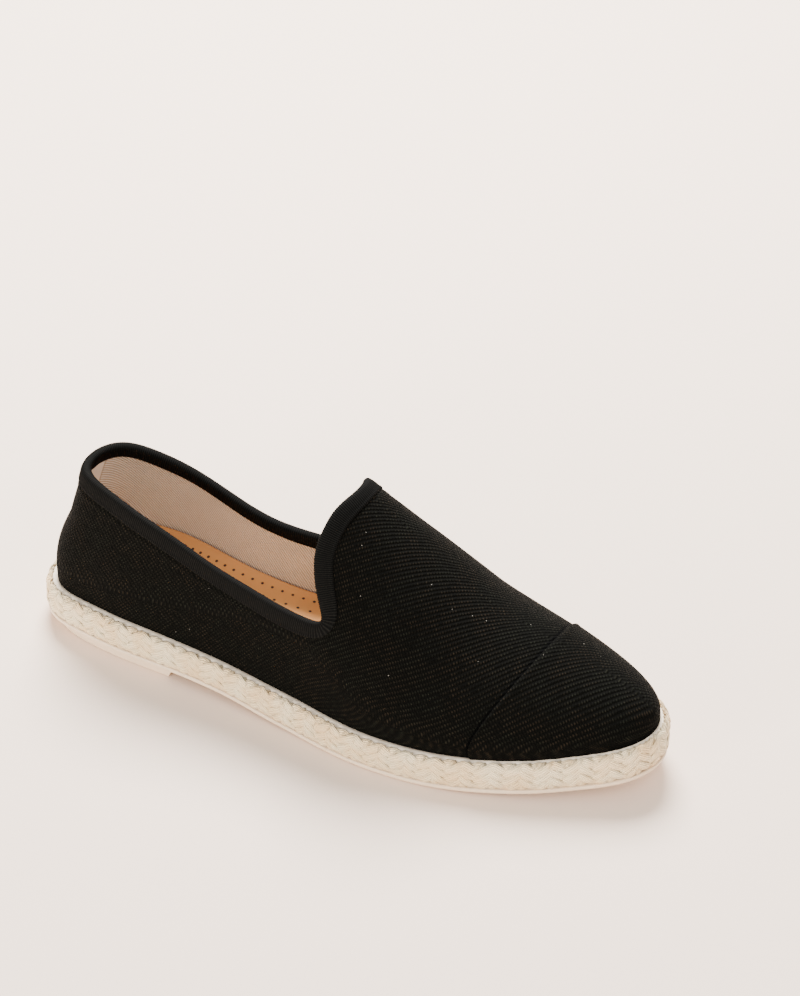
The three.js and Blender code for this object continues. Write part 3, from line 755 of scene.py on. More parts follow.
def canvas_material():
    """Coarse basket weave: painted light on the staggered raised knots and painted shade in the black gaps
    between them; the knots' green and brown tint is the cloth's own random tone.
    """
    s = Shader("black canvas", "canvas", 0.9, Specular_IOR_Level=0.05)
    u, v, _ = s.parts(s.cloth_place())
    drift = s.math("MULTIPLY", s.grain("canvas drift"), WEAVE_DRIFT)
    u = s.math("ADD", u, drift)
    v = s.math("SUBTRACT", v, drift)
    knots = s.math("MULTIPLY", s.wave(u, WEAVE_PITCH), s.wave(v, WEAVE_PITCH))
    tint = s.mix(s.ramp(s.grain("canvas patches"), 0.4, 0.6), "canvas green", "canvas brown")
    # Painted light on the knot tops against painted shade in the gaps
    lit_knots = s.math("MULTIPLY", s.ramp(knots, 0.2, 0.85), s.ramp(s.grain("canvas knots"), 0.3, 0.7))
    tone = s.mix(lit_knots, "canvas gap shade", tint)
    # Painted shadow of the toe cap's step along its seam
    tone = s.mix(seam_shade(s), tone, "canvas seam shadow")
    cells = s.node("ShaderNodeTexVoronoi", Vector=s.object_place(), Scale=LINT_SCALE)
    lint = s.math("LESS_THAN", cells.outputs["Distance"], LINT_RADIUS)
    s.color(s.mix(s.math("MULTIPLY", lint, LINT_SHARE), tone, "lint"))
    s.bump(knots, "canvas knots")
    s.bump(s.grain("canvas fuzz"), "canvas fuzz")
    return s.material


def ribbon_material():
    """Ribbed black ribbon: the ribs run across its width, with painted light on the rib tops and painted
    shade in the gaps between them.
    """
    s = Shader("black ribbon", "ribbon", 0.8, Specular_IOR_Level=0.07)
    rib, _, _ = s.parts(s.cloth_place())
    # Painted shade in the gaps between ribs, lighter painted rib tops
    lit_rib_tops = s.ramp(s.wave(rib, 1.0, math.pi / 2), -0.2, 0.9)
    s.color(s.mix(lit_rib_tops, "ribbon gap shade", s.mix(s.grain("ribbon patches"), "ribbon dark", "ribbon light")))
    s.bump(s.grain("ribbon fuzz"), "ribbon fuzz")
    return s.material


def lining_material():
    """Pinkish beige twill with painted shade in the grooves between its ribs, and a smooth patch inside the
    heel.
    """
    s = Shader("beige twill", "twill", 0.9, Specular_IOR_Level=0.2)
    x, y, z = s.parts(s.object_place())
    slope = s.math("ADD", s.math("MULTIPLY", x, TWILL_FORWARD), s.math("MULTIPLY", z, TWILL_UP))
    ribs = s.wave(slope, TWILL_PITCH)
    beside = s.math("SUBTRACT", s.math("ABSOLUTE", y), HEEL_PATCH_HALF)
    off_patch = s.math("MAXIMUM", s.math("GREATER_THAN", beside, 0.0), s.math("GREATER_THAN", x, 0.0))
    ribs = s.math("MULTIPLY", ribs, off_patch)
    tone = s.mix(s.grain("twill patches"), "twill dark", "twill light")
    # Painted shade in the grooves between the twill's ribs
    tone = s.mix(s.ramp(ribs, 0.0, 0.9), tone, "twill groove shade")
    seam = s.math("LESS_THAN", s.math("ABSOLUTE", beside), TWILL_SEAM_HALF)
    s.color(s.mix(s.math("MULTIPLY", seam, 0.5), tone, "twill seam"))
    s.bump(ribs, "twill ribs")
    s.bump(s.grain("twill fuzz"), "twill fuzz")
    return s.material


def leather_material():
    """Tan leather, darker towards the heel."""
    s = Shader("tan leather", "leather", 0.6, Specular_IOR_Level=0.25)
    x, _, _ = s.parts(s.object_place())
    back = s.ramp(s.math("MULTIPLY", x, HEEL_DARKENING), 0.2, 0.95)
    tone = s.mix(s.grain("leather patches"), "leather dark", "leather light")
    s.color(s.mix(s.math("MULTIPLY", back, HEEL_DARK_SHARE), tone, "leather heel"))
    s.bump(s.grain("leather grain"), "leather grain")
    return s.material


def jute_material():
    """Flat strips of yarns side by side, with fine fibres along them and painted shade in the grooves
    between the yarns.
    """
    s = Shader("jute braid", "jute", 0.6, Specular_IOR_Level=0.35)
    u, v, _ = s.parts(s.cloth_place())
    yarns = s.wave(v, 1 / YARNS)
    place = s.node("ShaderNodeCombineXYZ", X=s.math("MULTIPLY", u, FIBRE_ALONG),
                   Y=s.math("MULTIPLY", v, FIBRE_ROUND))
    fibre = s.noise(1.0, 4, place.outputs[0])
    tone = s.mix(s.ramp(s.grain("jute patches"), 0.35, 0.65), "jute dark", "jute light")
    tone = s.mix(s.math("MULTIPLY", s.ramp(fibre, 0.4, 0.75), FIBRE_SHARE), tone, "jute fibre")
    # Painted shade in the notches between the yarns
    groove_shade = s.ramp(s.math("MULTIPLY", yarns, -1.0), 0.2, 0.95)
    s.color(s.mix(s.math("MULTIPLY", groove_shade, GROOVE_SHADE_SHARE), tone, "jute groove shade"))
    s.bump(yarns, "jute yarns")
    s.bump(fibre, "jute fibres")
    s.main.inputs["Sheen Weight"].default_value = 0.15
    return s.material


def ledge_material():
    """Pale, lumpy cotton."""
    s = Shader("ledge cotton", "ledge", 0.85, Specular_IOR_Level=0.25)
    s.color(s.mix(s.grain("ledge patches"), "ledge dark", "ledge light"))
    s.bump(s.grain("ledge lumps"), "ledge lumps")
    return s.material


def rubber_material():
    """Cream rubber with a little dirt."""
    s = Shader("cream rubber", "rubber", 0.5, Specular_IOR_Level=0.35)
    tone = s.mix(s.grain("rubber patches"), "rubber dark", "rubber light")
    dirt = s.ramp(s.grain("rubber dirt"), 0.62, 0.75)
    s.color(s.mix(s.math("MULTIPLY", dirt, DIRT_SHARE), tone, "rubber dirt"))
    s.bump(s.grain("rubber grain"), "rubber grain")
    return s.material


def plain_material(name, tone, roughness):
    s = Shader(name, tone, roughness)
    s.bump(s.grain("plain grain"), "plain grain")
    return s.material


canvas = canvas_material()
ribbon = ribbon_material()
lining = lining_material()
leather = leather_material()
jute = jute_material()
ledge = ledge_material()
rubber = rubber_material()
# Painted shade seen inside the sock's punched holes
hole_shade = plain_material("hole shade", "hole shade", 0.9)
hair_pale = plain_material("fibre", "jute hair", 0.8)

# Soft troughs and ridges of the canvas: place as shares, side, sizes in millimetres and tilt in degrees
CREASES = {
    "along": [0.55, 0.60, 0.66, 0.30, 0.14, 0.50, 0.74],
    "up": [0.42, 0.62, 0.35, 0.45, 0.50, 0.80, 0.55],
    "side": [-1, -1, -1, -1, -1, -1, 1],
    "length": [26, 34, 30, 40, 22, 18, 30],
    "width": [6, 7, 6, 9, 8, 5, 7],
    "depth": [-0.5, 0.45, -0.35, -0.5, 0.4, -0.5, -0.4],
    "tilt": [60, 35, 20, 5, 80, 70, 30],
}
CREASE_FADE_LOW = 0.15
CREASE_FADE_HIGH = 0.2
FAR_AWAY = 1e3
UP_WEIGHT = 200


def crease_depth(points, up_share):
    """How far the canvas moves out at each grid point."""
    total = np.zeros(points.shape[:-1])
    for along_share, up, side, length, width, depth, tilt in zip(*CREASES.values()):
        dx = points[..., 0] - (along_share - 0.5) * SOLE_LENGTH
        other_side = np.where(np.sign(points[..., 1]) == side, 0, FAR_AWAY)
        gap = np.abs(dx) + UP_WEIGHT * np.abs(up_share - up) + other_side
        dz = points[..., 2] - points[np.unravel_index(np.argmin(gap), gap.shape)][2]
        tilt = math.radians(tilt)
        along = dx * math.cos(tilt) + dz * math.sin(tilt)
        across = -dx * math.sin(tilt) + dz * math.cos(tilt)
        shape = np.exp(-(along / length) ** 2 * 2 - (across / width) ** 2)
        total += depth * shape * (other_side == 0)
    total = total * np.clip(up_share / CREASE_FADE_LOW, 0, 1)
    return total * np.clip((1 - up_share) / CREASE_FADE_HIGH, 0, 1)


CANVAS_THICKNESS = 0.9
CANVAS_ROWS = 88
CANVAS_BACK_ROWS = 10
LINING_ROWS = 40
LINING_GAP = 0.1
RIDGE_BELOW = 2.0
RIDGE_HEIGHT = 0.3
RIDGE_WIDTH = 1.0


def leg_at(name):
    """Width of one leg of the ribbon at each column."""
    return RIBBON_WIDTH * collar[name](half_turn_degrees(angles(COLUMNS)))


def add_upper_layer(name, loops, material, replaces, flat):
    """A closed wall that goes round the shoe, with cloth coordinates read at points on the last."""
    faces = grid_faces(COLUMNS, loops.shape[1], close_columns=True)
    add_piece(name, loops, faces, material, replaces, cloth_place(flat))


def build_upper():
    """Canvas outside with soft creases and a ridge below the ribbon, twill inside."""
    total = path_lengths[:, -1:]
    share = np.linspace(0, 1, CANVAS_ROWS)[None]
    grid = along_paths(total * share)
    below = total * (1 - share) - leg_at("outer_leg")[:, None] - RIDGE_BELOW
    depth = crease_depth(grid, share + np.zeros((COLUMNS, 1)))
    depth += RIDGE_HEIGHT * np.exp(-(below / RIDGE_WIDTH) ** 2)
    outer = grid + grid_normals(grid) * depth[..., None]
    back = along_paths(total * np.linspace(1, 0, CANVAS_BACK_ROWS)[None])
    inner = back - grid_normals(back[:, ::-1])[:, ::-1] * CANVAS_THICKNESS
    add_upper_layer("canvas_upper", np.concatenate([outer, inner], 1), canvas, ["upper"],
                    np.concatenate([grid, back], 1))
    grid = along_paths(total * np.linspace(0, 1, LINING_ROWS)[None])
    normals = grid_normals(grid)
    outer = grid - normals * (CANVAS_THICKNESS + LINING_GAP)
    loops = np.concatenate([outer, (grid - normals * UPPER_WALL)[:, ::-1]], 1)
    add_upper_layer("twill_lining", loops, lining, (), loops)


CAP_ROWS = 44
CAP_ROW_POWER = 0.9
CAP_LIFT = 0.9
CAP_EDGE_LIFTS = [1.0, 1.12, 1.0, 0.35]
CAP_UNDERSIDE = 0.05


def ahead_of_seam(p):
    """How far each point is in front of the toe cap's seam."""
    seam_bow = CAP_BOW * (2 * p[..., 1] / BALL_WIDTH) ** 2
    return p[..., 0] - (SOLE_LENGTH / 2 - CAP_LENGTH + CAP_SLANT * p[..., 1] - seam_bow)


def cap_reach():
    """Distance from the foot line to the seam in each column, zero behind the cap."""
    front = ahead_of_seam(paths)
    reach = np.zeros(COLUMNS)
    for column in range(COLUMNS):
        behind = np.nonzero(front[column] < 0)[0]
        if front[column, 0] > 0 and len(behind):
            k = behind[0]
            part = front[column, k - 1] / (front[column, k - 1] - front[column, k])
            lengths = path_lengths[column]
            reach[column] = lengths[k - 1] + part * (lengths[k] - lengths[k - 1])
    return reach


def build_toe_cap():
    """Second layer of canvas over the toe, up to the slanted seam."""
    reach = cap_reach()
    used = np.nonzero(reach > 0)[0]
    share = np.linspace(0, 1, CAP_ROWS)[None] ** CAP_ROW_POWER
    grid = along_paths(reach[:, None] * share)[used]
    base_normals = grid_normals(along_paths(path_lengths[:, -1:] * np.linspace(0, 1, SAMPLES)[None]))
    at = share * reach[used, None] / path_lengths[used, -1:] * (SAMPLES - 1)
    places = np.broadcast_to(np.arange(SAMPLES), (len(used), SAMPLES))
    normals = unit(read_columns(at, places, base_normals[used]))
    lift = np.full(CAP_ROWS, CAP_LIFT)
    lift[-len(CAP_EDGE_LIFTS):] = CAP_EDGE_LIFTS
    outer = grid + normals * lift[None, :, None]
    inner = (grid + normals * CAP_UNDERSIDE)[:, ::-1]
    faces = grid_faces(len(used), 2 * CAP_ROWS, close_rows=False, close_columns=True)
    add_piece("toe_cap_layer", np.concatenate([outer, inner], 1), faces, canvas, ["toe_cap"],
              cloth_place(np.concatenate([grid, grid[:, ::-1]], 1)))


RIB_PITCH = 0.85
RIB_DEPTH = 0.1
RIB_POINTS = 5
RIBBON_INSIDE = 0.1
LEG_STEPS = 12
LEG_PROFILE = [0.3, 0.66, 0.74, 0.62, 0.68, 0.74, 0.78, 0.82, 0.84, 0.85, 0.85, 0.85, 0.85]
INNER_LEG_SHARE = 0.9
FOLD_POINTS = 9
FOLD_HEIGHT_SHARE = 0.7
NORMAL_SPREAD = 3.0
PLACE_SPREAD = 1.5
LARGEST_STEP = 0.25
SMALLEST_SLOPE = 1e-4
BUNCH_DEGREES = 97
BUNCH_SPREAD = 6
BUNCH_DEPTH = 0.2
BUNCH_END = 0.1
BUNCH_WAVES = [(1.0, 1.9, 0), (0.5, 3.7, 1)]


def smooth_normal(place):
    return unit(smooth_round(unit(-level_slope(place)), NORMAL_SPREAD))


def walk_from_edge(width):
    """Points and normals on the last, square to the collar's edge, at even steps away from it."""
    place = paths[:, -1].copy()
    along = unit(np.roll(place, -2, 0) - np.roll(place, 2, 0))
    normal = smooth_normal(place)
    rows = [(place, normal)]
    for _ in range(LEG_STEPS):
        place = place + unit(np.cross(along, normal)) * (width / LEG_STEPS)[:, None]
        for _ in range(2):
            slope = level_slope(place)
            steep = np.maximum(np.linalg.norm(slope, axis=-1), SMALLEST_SLOPE)
            back = np.clip(level_inside(place) / steep, -LARGEST_STEP, LARGEST_STEP)
            place = place - slope * (back / steep)[:, None]
        place = smooth_round(place, PLACE_SPREAD)
        normal = smooth_normal(place)
        rows.append((place, normal))
    return [np.stack(part, 1) for part in zip(*rows)]


def bunching(place, rows):
    """Small gathers in the ribbon at the vamp's corner, on the outer leg."""
    degrees = half_turn_degrees(place / COLUMNS * 2 * math.pi)
    near = np.exp(-((degrees - BUNCH_DEGREES) / BUNCH_SPREAD) ** 2)
    depth = BUNCH_DEPTH * near * ripple(place, BUNCH_WAVES)
    lower = np.concatenate([np.linspace(1, BUNCH_END, LEG_STEPS + 1), np.zeros(rows - LEG_STEPS - 1)])
    return depth[:, None] * lower[None]


def build_ribbon():
    """Ribbed ribbon folded over the collar's edge, bunched a little at the vamp's corner."""
    edge = paths[:, -1]
    gaps = np.linalg.norm(np.roll(edge, -1, 0) - edge, axis=1)
    lengths = np.concatenate([[0], gaps.cumsum()])
    count = int(round(lengths[-1] / RIB_PITCH)) * RIB_POINTS
    place = np.interp(np.arange(count) / count * lengths[-1], lengths, np.arange(COLUMNS + 1))
    outer, out_normals = walk_from_edge(leg_at("outer_leg"))
    inner, in_normals = walk_from_edge(leg_at("inner_leg"))
    normal = out_normals[:, 0]
    rise = unit(np.cross(normal, np.roll(edge, -1, 0) - np.roll(edge, 1, 0)))
    half = UPPER_WALL / 2 + LEG_PROFILE[-1]
    rows = []
    thickness = []
    for k in range(LEG_STEPS, -1, -1):
        rows.append(outer[:, k] + out_normals[:, k] * LEG_PROFILE[LEG_STEPS - k])
        thickness.append(out_normals[:, k])
    for angle in np.linspace(0, math.pi, FOLD_POINTS)[1:-1]:
        out = normal * math.cos(angle) + rise * math.sin(angle) * FOLD_HEIGHT_SHARE
        rows.append(edge - normal * UPPER_WALL / 2 + out * half)
        thickness.append(out)
    for k in range(LEG_STEPS + 1):
        depth = UPPER_WALL + INNER_LEG_SHARE * LEG_PROFILE[LEG_STEPS - k]
        rows.append(inner[:, k] - in_normals[:, k] * depth)
        thickness.append(-in_normals[:, k])
    back = np.stack([
        inner[:, -1] - in_normals[:, -1] * (UPPER_WALL + RIBBON_INSIDE),
        edge - normal * (UPPER_WALL + RIBBON_INSIDE) + rise * RIBBON_INSIDE,
        edge + normal * RIBBON_INSIDE + rise * RIBBON_INSIDE,
        outer[:, -1] + out_normals[:, -1] * RIBBON_INSIDE,
    ], 1)
    front = periodic(np.stack(rows, 1), place)
    thickness = unit(periodic(np.stack(thickness, 1), place))
    ribs = RIB_DEPTH * np.cos(np.arange(count) / RIB_POINTS * 2 * math.pi)
    front = front + thickness * (ribs[:, None] + bunching(place, len(rows)))[..., None]
    loops = np.concatenate([front, periodic(back, place)], 1)
    uv = np.zeros(loops.shape[:2] + (2,))
    uv[..., 0] = (np.arange(count) / RIB_POINTS)[:, None]
    uv[..., 1] = np.arange(loops.shape[1])[None]
    add_piece("collar_ribbon", loops, grid_faces(count, loops.shape[1], close_columns=True),
              ribbon, ["collar_binding"], uv)


# Sock, holes and ledge
SOCK_COLUMNS = 240
SOCK_THICKNESS = 6.0
SOCK_TOE_THICKNESS = 1.5
SOCK_THIN_FROM = 0.5
SOCK_THIN_TO = 0.95
SOCK_HEEL_CUP = 6.0
SOCK_CUP_FADE = 1.2
SOCK_CUP_WIDTH = 11.0
SOCK_CUP_POWER = 1.75
SOCK_INSET = LEDGE_WIDTH + UPPER_WALL + UPPER_SEAT
SOCK_EDGE_RISE = 1.2
SOCK_EDGE_POWER = 6
SOCK_EDGE_DROP = 1.0
SOCK_ROUNDING = 0.4
SOCK_RINGS = (0.25, 0.8, 1.8, 3.2, 4.9, 6.8, 9.0, 11.0, 15.0)
HOLE_ROWS = (4.2, 10.0)
HOLE_PITCH = 3.7
HOLE_RADIUS = 0.62
HOLE_SIDES = 10
HOLE_LIFT = 0.06
HOLE_NUDGE = 0.02


def sock_foot(x):
    return platform_top(x) + UPPER_SEAT


def sock_height(x, from_edge):
    """Height of the sock's top at a distance in from its edge."""
    t = np.clip((share_at(x) - SOCK_THIN_FROM) / (SOCK_THIN_TO - SOCK_THIN_FROM), 0, 1)
    thin = t * t * (3 - 2 * t)
    top = sock_foot(x) + SOCK_THICKNESS * (1 - thin) + SOCK_TOE_THICKNESS * thin
    cup = SOCK_HEEL_CUP * np.maximum(0, 1 - share_at(x) / SOCK_THIN_FROM) ** SOCK_CUP_FADE
    share = np.clip(1 - from_edge / SOCK_CUP_WIDTH, 0, 1)
    return top + cup * share ** SOCK_CUP_POWER + SOCK_EDGE_RISE * share ** SOCK_EDGE_POWER


def build_sock():
    """Leather sock with its edge turned up along the wall and cupped round the heel."""
    rings = [ring(SOCK_INSET, sock_foot, SOCK_COLUMNS)]
    rings.append(ring(SOCK_INSET, lambda x: sock_height(x, 0) - SOCK_EDGE_DROP, SOCK_COLUMNS))
    for from_edge in SOCK_RINGS:
        drop = SOCK_ROUNDING * math.exp(-from_edge * 2)
        rings.append(ring(SOCK_INSET + from_edge, lambda x: sock_height(x, from_edge) - drop, SOCK_COLUMNS))
    points, faces = stack_of_rings(rings)
    add_piece("leather_sock", points, faces, leather, ["insole"])


def build_sock_holes():
    """Discs of painted shade that stand for the punched holes, just above the leather."""
    points = []
    faces = []
    for from_edge in HOLE_ROWS:
        row_inset = SOCK_INSET + from_edge
        count = int((GIRTH - 2 * math.pi * row_inset) / HOLE_PITCH)
        angle = angle_at_length(np.arange(count) / count * GIRTH)
        plan = outline_at(angle, np.full(count, row_inset))
        ahead = unit(outline_at(angle + HOLE_NUDGE, np.full(count, row_inset)) - plan)
        inward = unit(outline_at(angle, np.full(count, row_inset + 1)) - plan)
        for i in range(count):
            start = len(points)
            for phi in angles(HOLE_SIDES):
                across = HOLE_RADIUS * math.sin(phi)
                x, y = plan[i] + ahead[i] * HOLE_RADIUS * math.cos(phi) + inward[i] * across
                points.append([x, y, float(sock_height(np.array(x), from_edge + across)) + HOLE_LIFT])
            faces.append([start + k for k in range(HOLE_SIDES)])
    add_piece("sock_hole_shade", points, faces, hole_shade, smooth=False)


# Ledge's section: inset and rise over the platform
LEDGE_SECTION = [(2.2, -1.6), (2.5, -0.3), (3.0, 0.12), (3.7, 0.27), (4.4, 0.24), (5.0, 0.1), (5.6, -0.6)]
LEDGE_WAVES = [(0.07, 61, 0), (0.05, 143, 1)]


def build_ledge():
    """Rounded, slightly uneven tape between the canvas and the band."""
    wobble = ripple(angles(COLUMNS), LEDGE_WAVES)
    rings = []
    for inset, rise in LEDGE_SECTION:
        points = ring(inset, platform_top)
        points[:, 2] += rise + wobble * (rise > 0)
        rings.append(points)
    points, faces = stack_of_rings(rings)
    add_piece("ledge_tape", points, faces, ledge)


# Plaited band
STRANDS = 6
WAVES_ROUND = 18
STRAND_STEPS = 48
STRAND_SIDES = 12
STRAND_HALF_WIDTH = 1.72
STRAND_HALF_THICKNESS = 0.5
STRAND_RISE = 0.5
STRAND_MARGIN = 0.06
STRAND_SPAN = 0.86
STRAND_TURN = 0.992
STRAND_FADE = 0.1
STRAND_UNEVEN = 0.06
STRAND_CLOTH = 1.4
BAND_LIFT = 0.5
BAND = {
    "share": [0, 0.10, 0.40, 0.68, 0.80, 0.90, 1.0],
    "inset": [1.4, 1.0, 0.75, 0.85, 1.0, 1.3, 1.8],
    "up": [0.02, 0.11, 0.42, 0.72, 0.83, 0.91, 0.96],
}
band_inset = smooth_table(BAND["share"], BAND["inset"])
band_up = smooth_table(BAND["share"], BAND["up"])


def band_point(length, share):
    """Point on the band's face at a length round the sole and a share of the way up."""
    plan = outline_at(angle_at_length(length), band_inset(share))
    low = braid_bottom(plan[..., 0]) + BAND_LIFT
    return np.concatenate([plan, (low + (platform_top(plan[..., 0]) - low) * band_up(share))[..., None]], -1)


def band_normal(length, share):
    share = np.clip(share, 0.01, 0.99)
    forward = band_point(length + 0.5, share) - band_point(length - 0.5, share)
    up = band_point(length, share + 0.01) - band_point(length, share - 0.01)
    return unit(np.cross(forward, up))


def build_braid():
    """Flat plait: each strand goes down and up the band, over two and under two."""
    steps = WAVES_ROUND * STRAND_STEPS
    pitch = GIRTH / WAVES_ROUND / STRANDS
    phase = np.arange(steps) / STRAND_STEPS * 2 * math.pi
    share = 0.5 - np.arcsin(STRAND_TURN * np.cos(phase)) / (2 * math.asin(STRAND_TURN))
    share = STRAND_MARGIN + STRAND_SPAN * share
    lattice = share * STRANDS / 2
    fade = np.clip(np.minimum(share, 1 - share) / STRAND_FADE, 0, 1)
    strands = []
    uv = []
    for strand in range(STRANDS):
        length = np.arange(steps) / steps * GIRTH + strand * pitch
        a = length / pitch - lattice
        b = length / pitch + lattice
        over = np.where(np.sin(phase) > 0, np.cos(2 * math.pi * (b + np.round(a) - 0.5) / 4),
                        -np.cos(2 * math.pi * (a + np.round(b) - 0.5) / 4))
        normal = band_normal(length, share)
        centre = band_point(length, share) + normal * (STRAND_RISE * over * fade)[:, None]
        centre += normal * (STRAND_UNEVEN * np.sin(phase * 3 + strand))[:, None]
        tangent = unit(np.roll(centre, -1, 0) - np.roll(centre, 1, 0))
        strands.append(tube(centre, unit(np.cross(normal, tangent)), normal, STRAND_HALF_WIDTH,
                            STRAND_HALF_THICKNESS, STRAND_SIDES))
        u = np.arange(steps) / steps * GIRTH * STRAND_CLOTH / MILLIMETRES + strand
        v = np.arange(STRAND_SIDES) / STRAND_SIDES
        uv.append(np.stack([np.repeat(u, STRAND_SIDES), np.tile(v, steps)], -1))
    points, faces = joined(strands)
    add_piece("braid_strands", points, faces, jute, ["braid_wrap"], np.concatenate(uv))


# Thread loops: how far in and how far below the platform they are on their way
LOOP_PITCH = 2.85
LOOP_POINTS = 9
LOOP_SIDES = 8
LOOP_LENGTH = 0.95
LOOP_WAY = [0, 0.35, 0.7, 1]
LOOP_INSETS = [0.75, 0.95, 1.7, 2.75]
LOOP_DROPS = [-2.9, -1.3, -0.15, -0.1]
LOOP_SCATTER = 0.1
LOOP_HALF_WIDTH = 0.78
LOOP_HALF_THICKNESS = 0.5
LOOP_TIP = 0.35
LOOP_END = 0.08
LOOP_TWIST = 0.37
LOOP_TURN_UP = 0.7
LOOP_START_UP = 0.25


def build_top_loops():
    """Slanted thread loops that curl over the band's top edge onto the ledge."""
    count = int(GIRTH / LOOP_PITCH)
    step = np.linspace(0, 1, LOOP_POINTS)
    middle = np.sin(math.pi * (LOOP_END + (1 - 2 * LOOP_END) * step))
    size = LOOP_TIP + (1 - LOOP_TIP) * np.sqrt(np.clip(middle, 0, 1))
    last = (LOOP_POINTS - 1) * LOOP_SIDES
    ends = [list(range(LOOP_SIDES)), [last + k for k in reversed(range(LOOP_SIDES))]]
    loops = []
    uv = []
    for i in range(count):
        length = i / count * GIRTH + LOOP_PITCH * LOOP_LENGTH * step
        angle = angle_at_length(length)
        inset = np.interp(step, LOOP_WAY, LOOP_INSETS) + random.normal() * LOOP_SCATTER
        plan = outline_at(angle, inset)
        drop = np.interp(step, LOOP_WAY, LOOP_DROPS) + random.normal() * LOOP_SCATTER
        centre = np.column_stack([plan, platform_top(plan[:, 0]) + drop])
        tangent = unit(np.gradient(centre, axis=0))
        outward = outline_at(angle, 0.0 * inset) - outline_at(angle, 0.0 * inset + 1)
        outward = unit(np.column_stack([outward * (1 - step[:, None] * LOOP_TURN_UP), LOOP_START_UP + step]))
        across = unit(np.cross(outward, tangent))
        points, faces = tube(centre, across, unit(np.cross(tangent, across)), LOOP_HALF_WIDTH * size,
                             LOOP_HALF_THICKNESS * size, LOOP_SIDES, closed=False)
        loops.append((points, faces + ends))
        u = np.repeat(length * STRAND_CLOTH / MILLIMETRES + i * LOOP_TWIST, LOOP_SIDES)
        uv.append(np.stack([u, np.tile(np.arange(LOOP_SIDES) / LOOP_SIDES, LOOP_POINTS)], -1))
    points, faces = joined(loops)
    add_piece("braid_loops", points, faces, jute, uv=np.concatenate(uv))


CORE_SHARES = (0.0, 0.2, 0.5, 0.75, 0.9, 1.0)
CORE_INSET = 0.75
CORE_LIFT = 0.3
CORE_DROP = 0.4


def build_braid_core():
    """Plain band behind the strands, which closes the gaps between them."""
    rings = []
    for share in CORE_SHARES:
        def height(x):
            low = braid_bottom(x) + CORE_LIFT
            return low + (platform_top(x) - CORE_DROP - low) * float(band_up(share))

        rings.append(ring(float(band_inset(share)) + CORE_INSET, height))
    points, faces = stack_of_rings(rings)
    add_piece("braid_core", points, faces, plain_material("braid core", "jute core", 0.95))


HAIR_RADIUS = 0.085
HAIR_COUNT = 420
HAIR_POINTS = 5
HAIR_SIDES = (0, 2.1, 4.2)
HAIR_LOW_SHARE = 0.7
HAIR_LOW_SPAN = (0.0, 0.12)
HAIR_HIGH_SPAN = (0.3, 0.95)
HAIR_SIZES = (0.8, 3.4)
HAIR_HIGH_SIZE = 0.6
HAIR_LOW_DROOP = -0.5
HAIR_HIGH_RISE = 0.2
HAIR_OUTWARD = (0.3, 1)
HAIR_SIDE_BEND = 0.6
HAIR_UP_BEND = 0.5
HAIR_CURL = 0.6
HAIR_TAPER = 0.6
HAIR_FLOOR = 0.3


def build_hairs():
    """Loose fibres along the band's edges."""
    points = []
    faces = []
    sides = len(HAIR_SIDES)
    for _ in range(HAIR_COUNT):
        length = random.uniform(0, GIRTH)
        low = random.uniform() < HAIR_LOW_SHARE
        share = random.uniform(*(HAIR_LOW_SPAN if low else HAIR_HIGH_SPAN))
        base = band_point(np.array([length]), np.array([share]))[0]
        normal = band_normal(np.array([length]), np.array([share]))[0]
        side = unit(np.cross(normal, [0, 0, 1]))
        size = random.uniform(*HAIR_SIZES) * (1 if low else HAIR_HIGH_SIZE)
        droop = np.array([0, 0, HAIR_LOW_DROOP if low else HAIR_HIGH_RISE])
        heading = unit(normal * random.uniform(*HAIR_OUTWARD) + side * random.normal() + droop)
        bend = side * random.normal() * HAIR_SIDE_BEND + np.array([0, 0, random.normal() * HAIR_UP_BEND])
        start = len(points)
        for t in np.linspace(0, 1, HAIR_POINTS):
            centre = base + heading * size * t + bend * size * t * t * HAIR_CURL
            centre[2] = max(centre[2], HAIR_FLOOR)
            radius = HAIR_RADIUS * (1 - HAIR_TAPER * t)
            for phi in HAIR_SIDES:
                points.append(centre + radius * (side * math.cos(phi) + np.array([0, 0, math.sin(phi)])))
        for row in range(start, start + (HAIR_POINTS - 1) * sides, sides):
            for j in range(sides):
                a = row + j
                b = row + (j + 1) % sides
                faces.append([a, b, b + sides, a + sides])
    add_piece("braid_fibres", points, faces, hair_pale)


# Outsole
RIM_WIDTH = 4.5
GROOVE_DEPTH = 1.0
RIB_WIDTH = 1.9
RIB_FACE_HALF = 0.38
RIB_ROOT = 0.2
SHORTEST_RUN = 4
WAIST_LENGTH = 52.0
TREAD_PITCH = 3.286
TREAD_RIBS = 44
TREAD_LEAD = 4.0
TREAD_HALF = 44.0
TREAD_POINTS = 60
TREAD_SWING = 13.0
TREAD_HALF_WAVES = 0.95
TREAD_SLANT = 0.12
TREAD_END_SHARE = 0.985
HEEL_ARCS = 17
HEEL_ARC_PITCH = 3.6
HEEL_ARC_FIRST = 4.0
HEEL_ARC_SIDE = 21.0
HEEL_ARC_FRONT = 5.2
HEEL_ARC_BACK = 12.0
HEEL_ARC_INSET = 5.0
HEEL_ARC_POINTS = 90
HEEL_ARC_LIFT = 0.05
HEEL_COLUMNS = 161
# Heel block's section: inset and height, from the groove to the top
HEEL_SECTION = [
    (4.8, GROOVE_DEPTH), (4.5, 0.0), (0.9, 0.0), (0.25, 0.15), (0.0, 0.6), (-0.9, HEEL_BLOCK_HEIGHT),
]
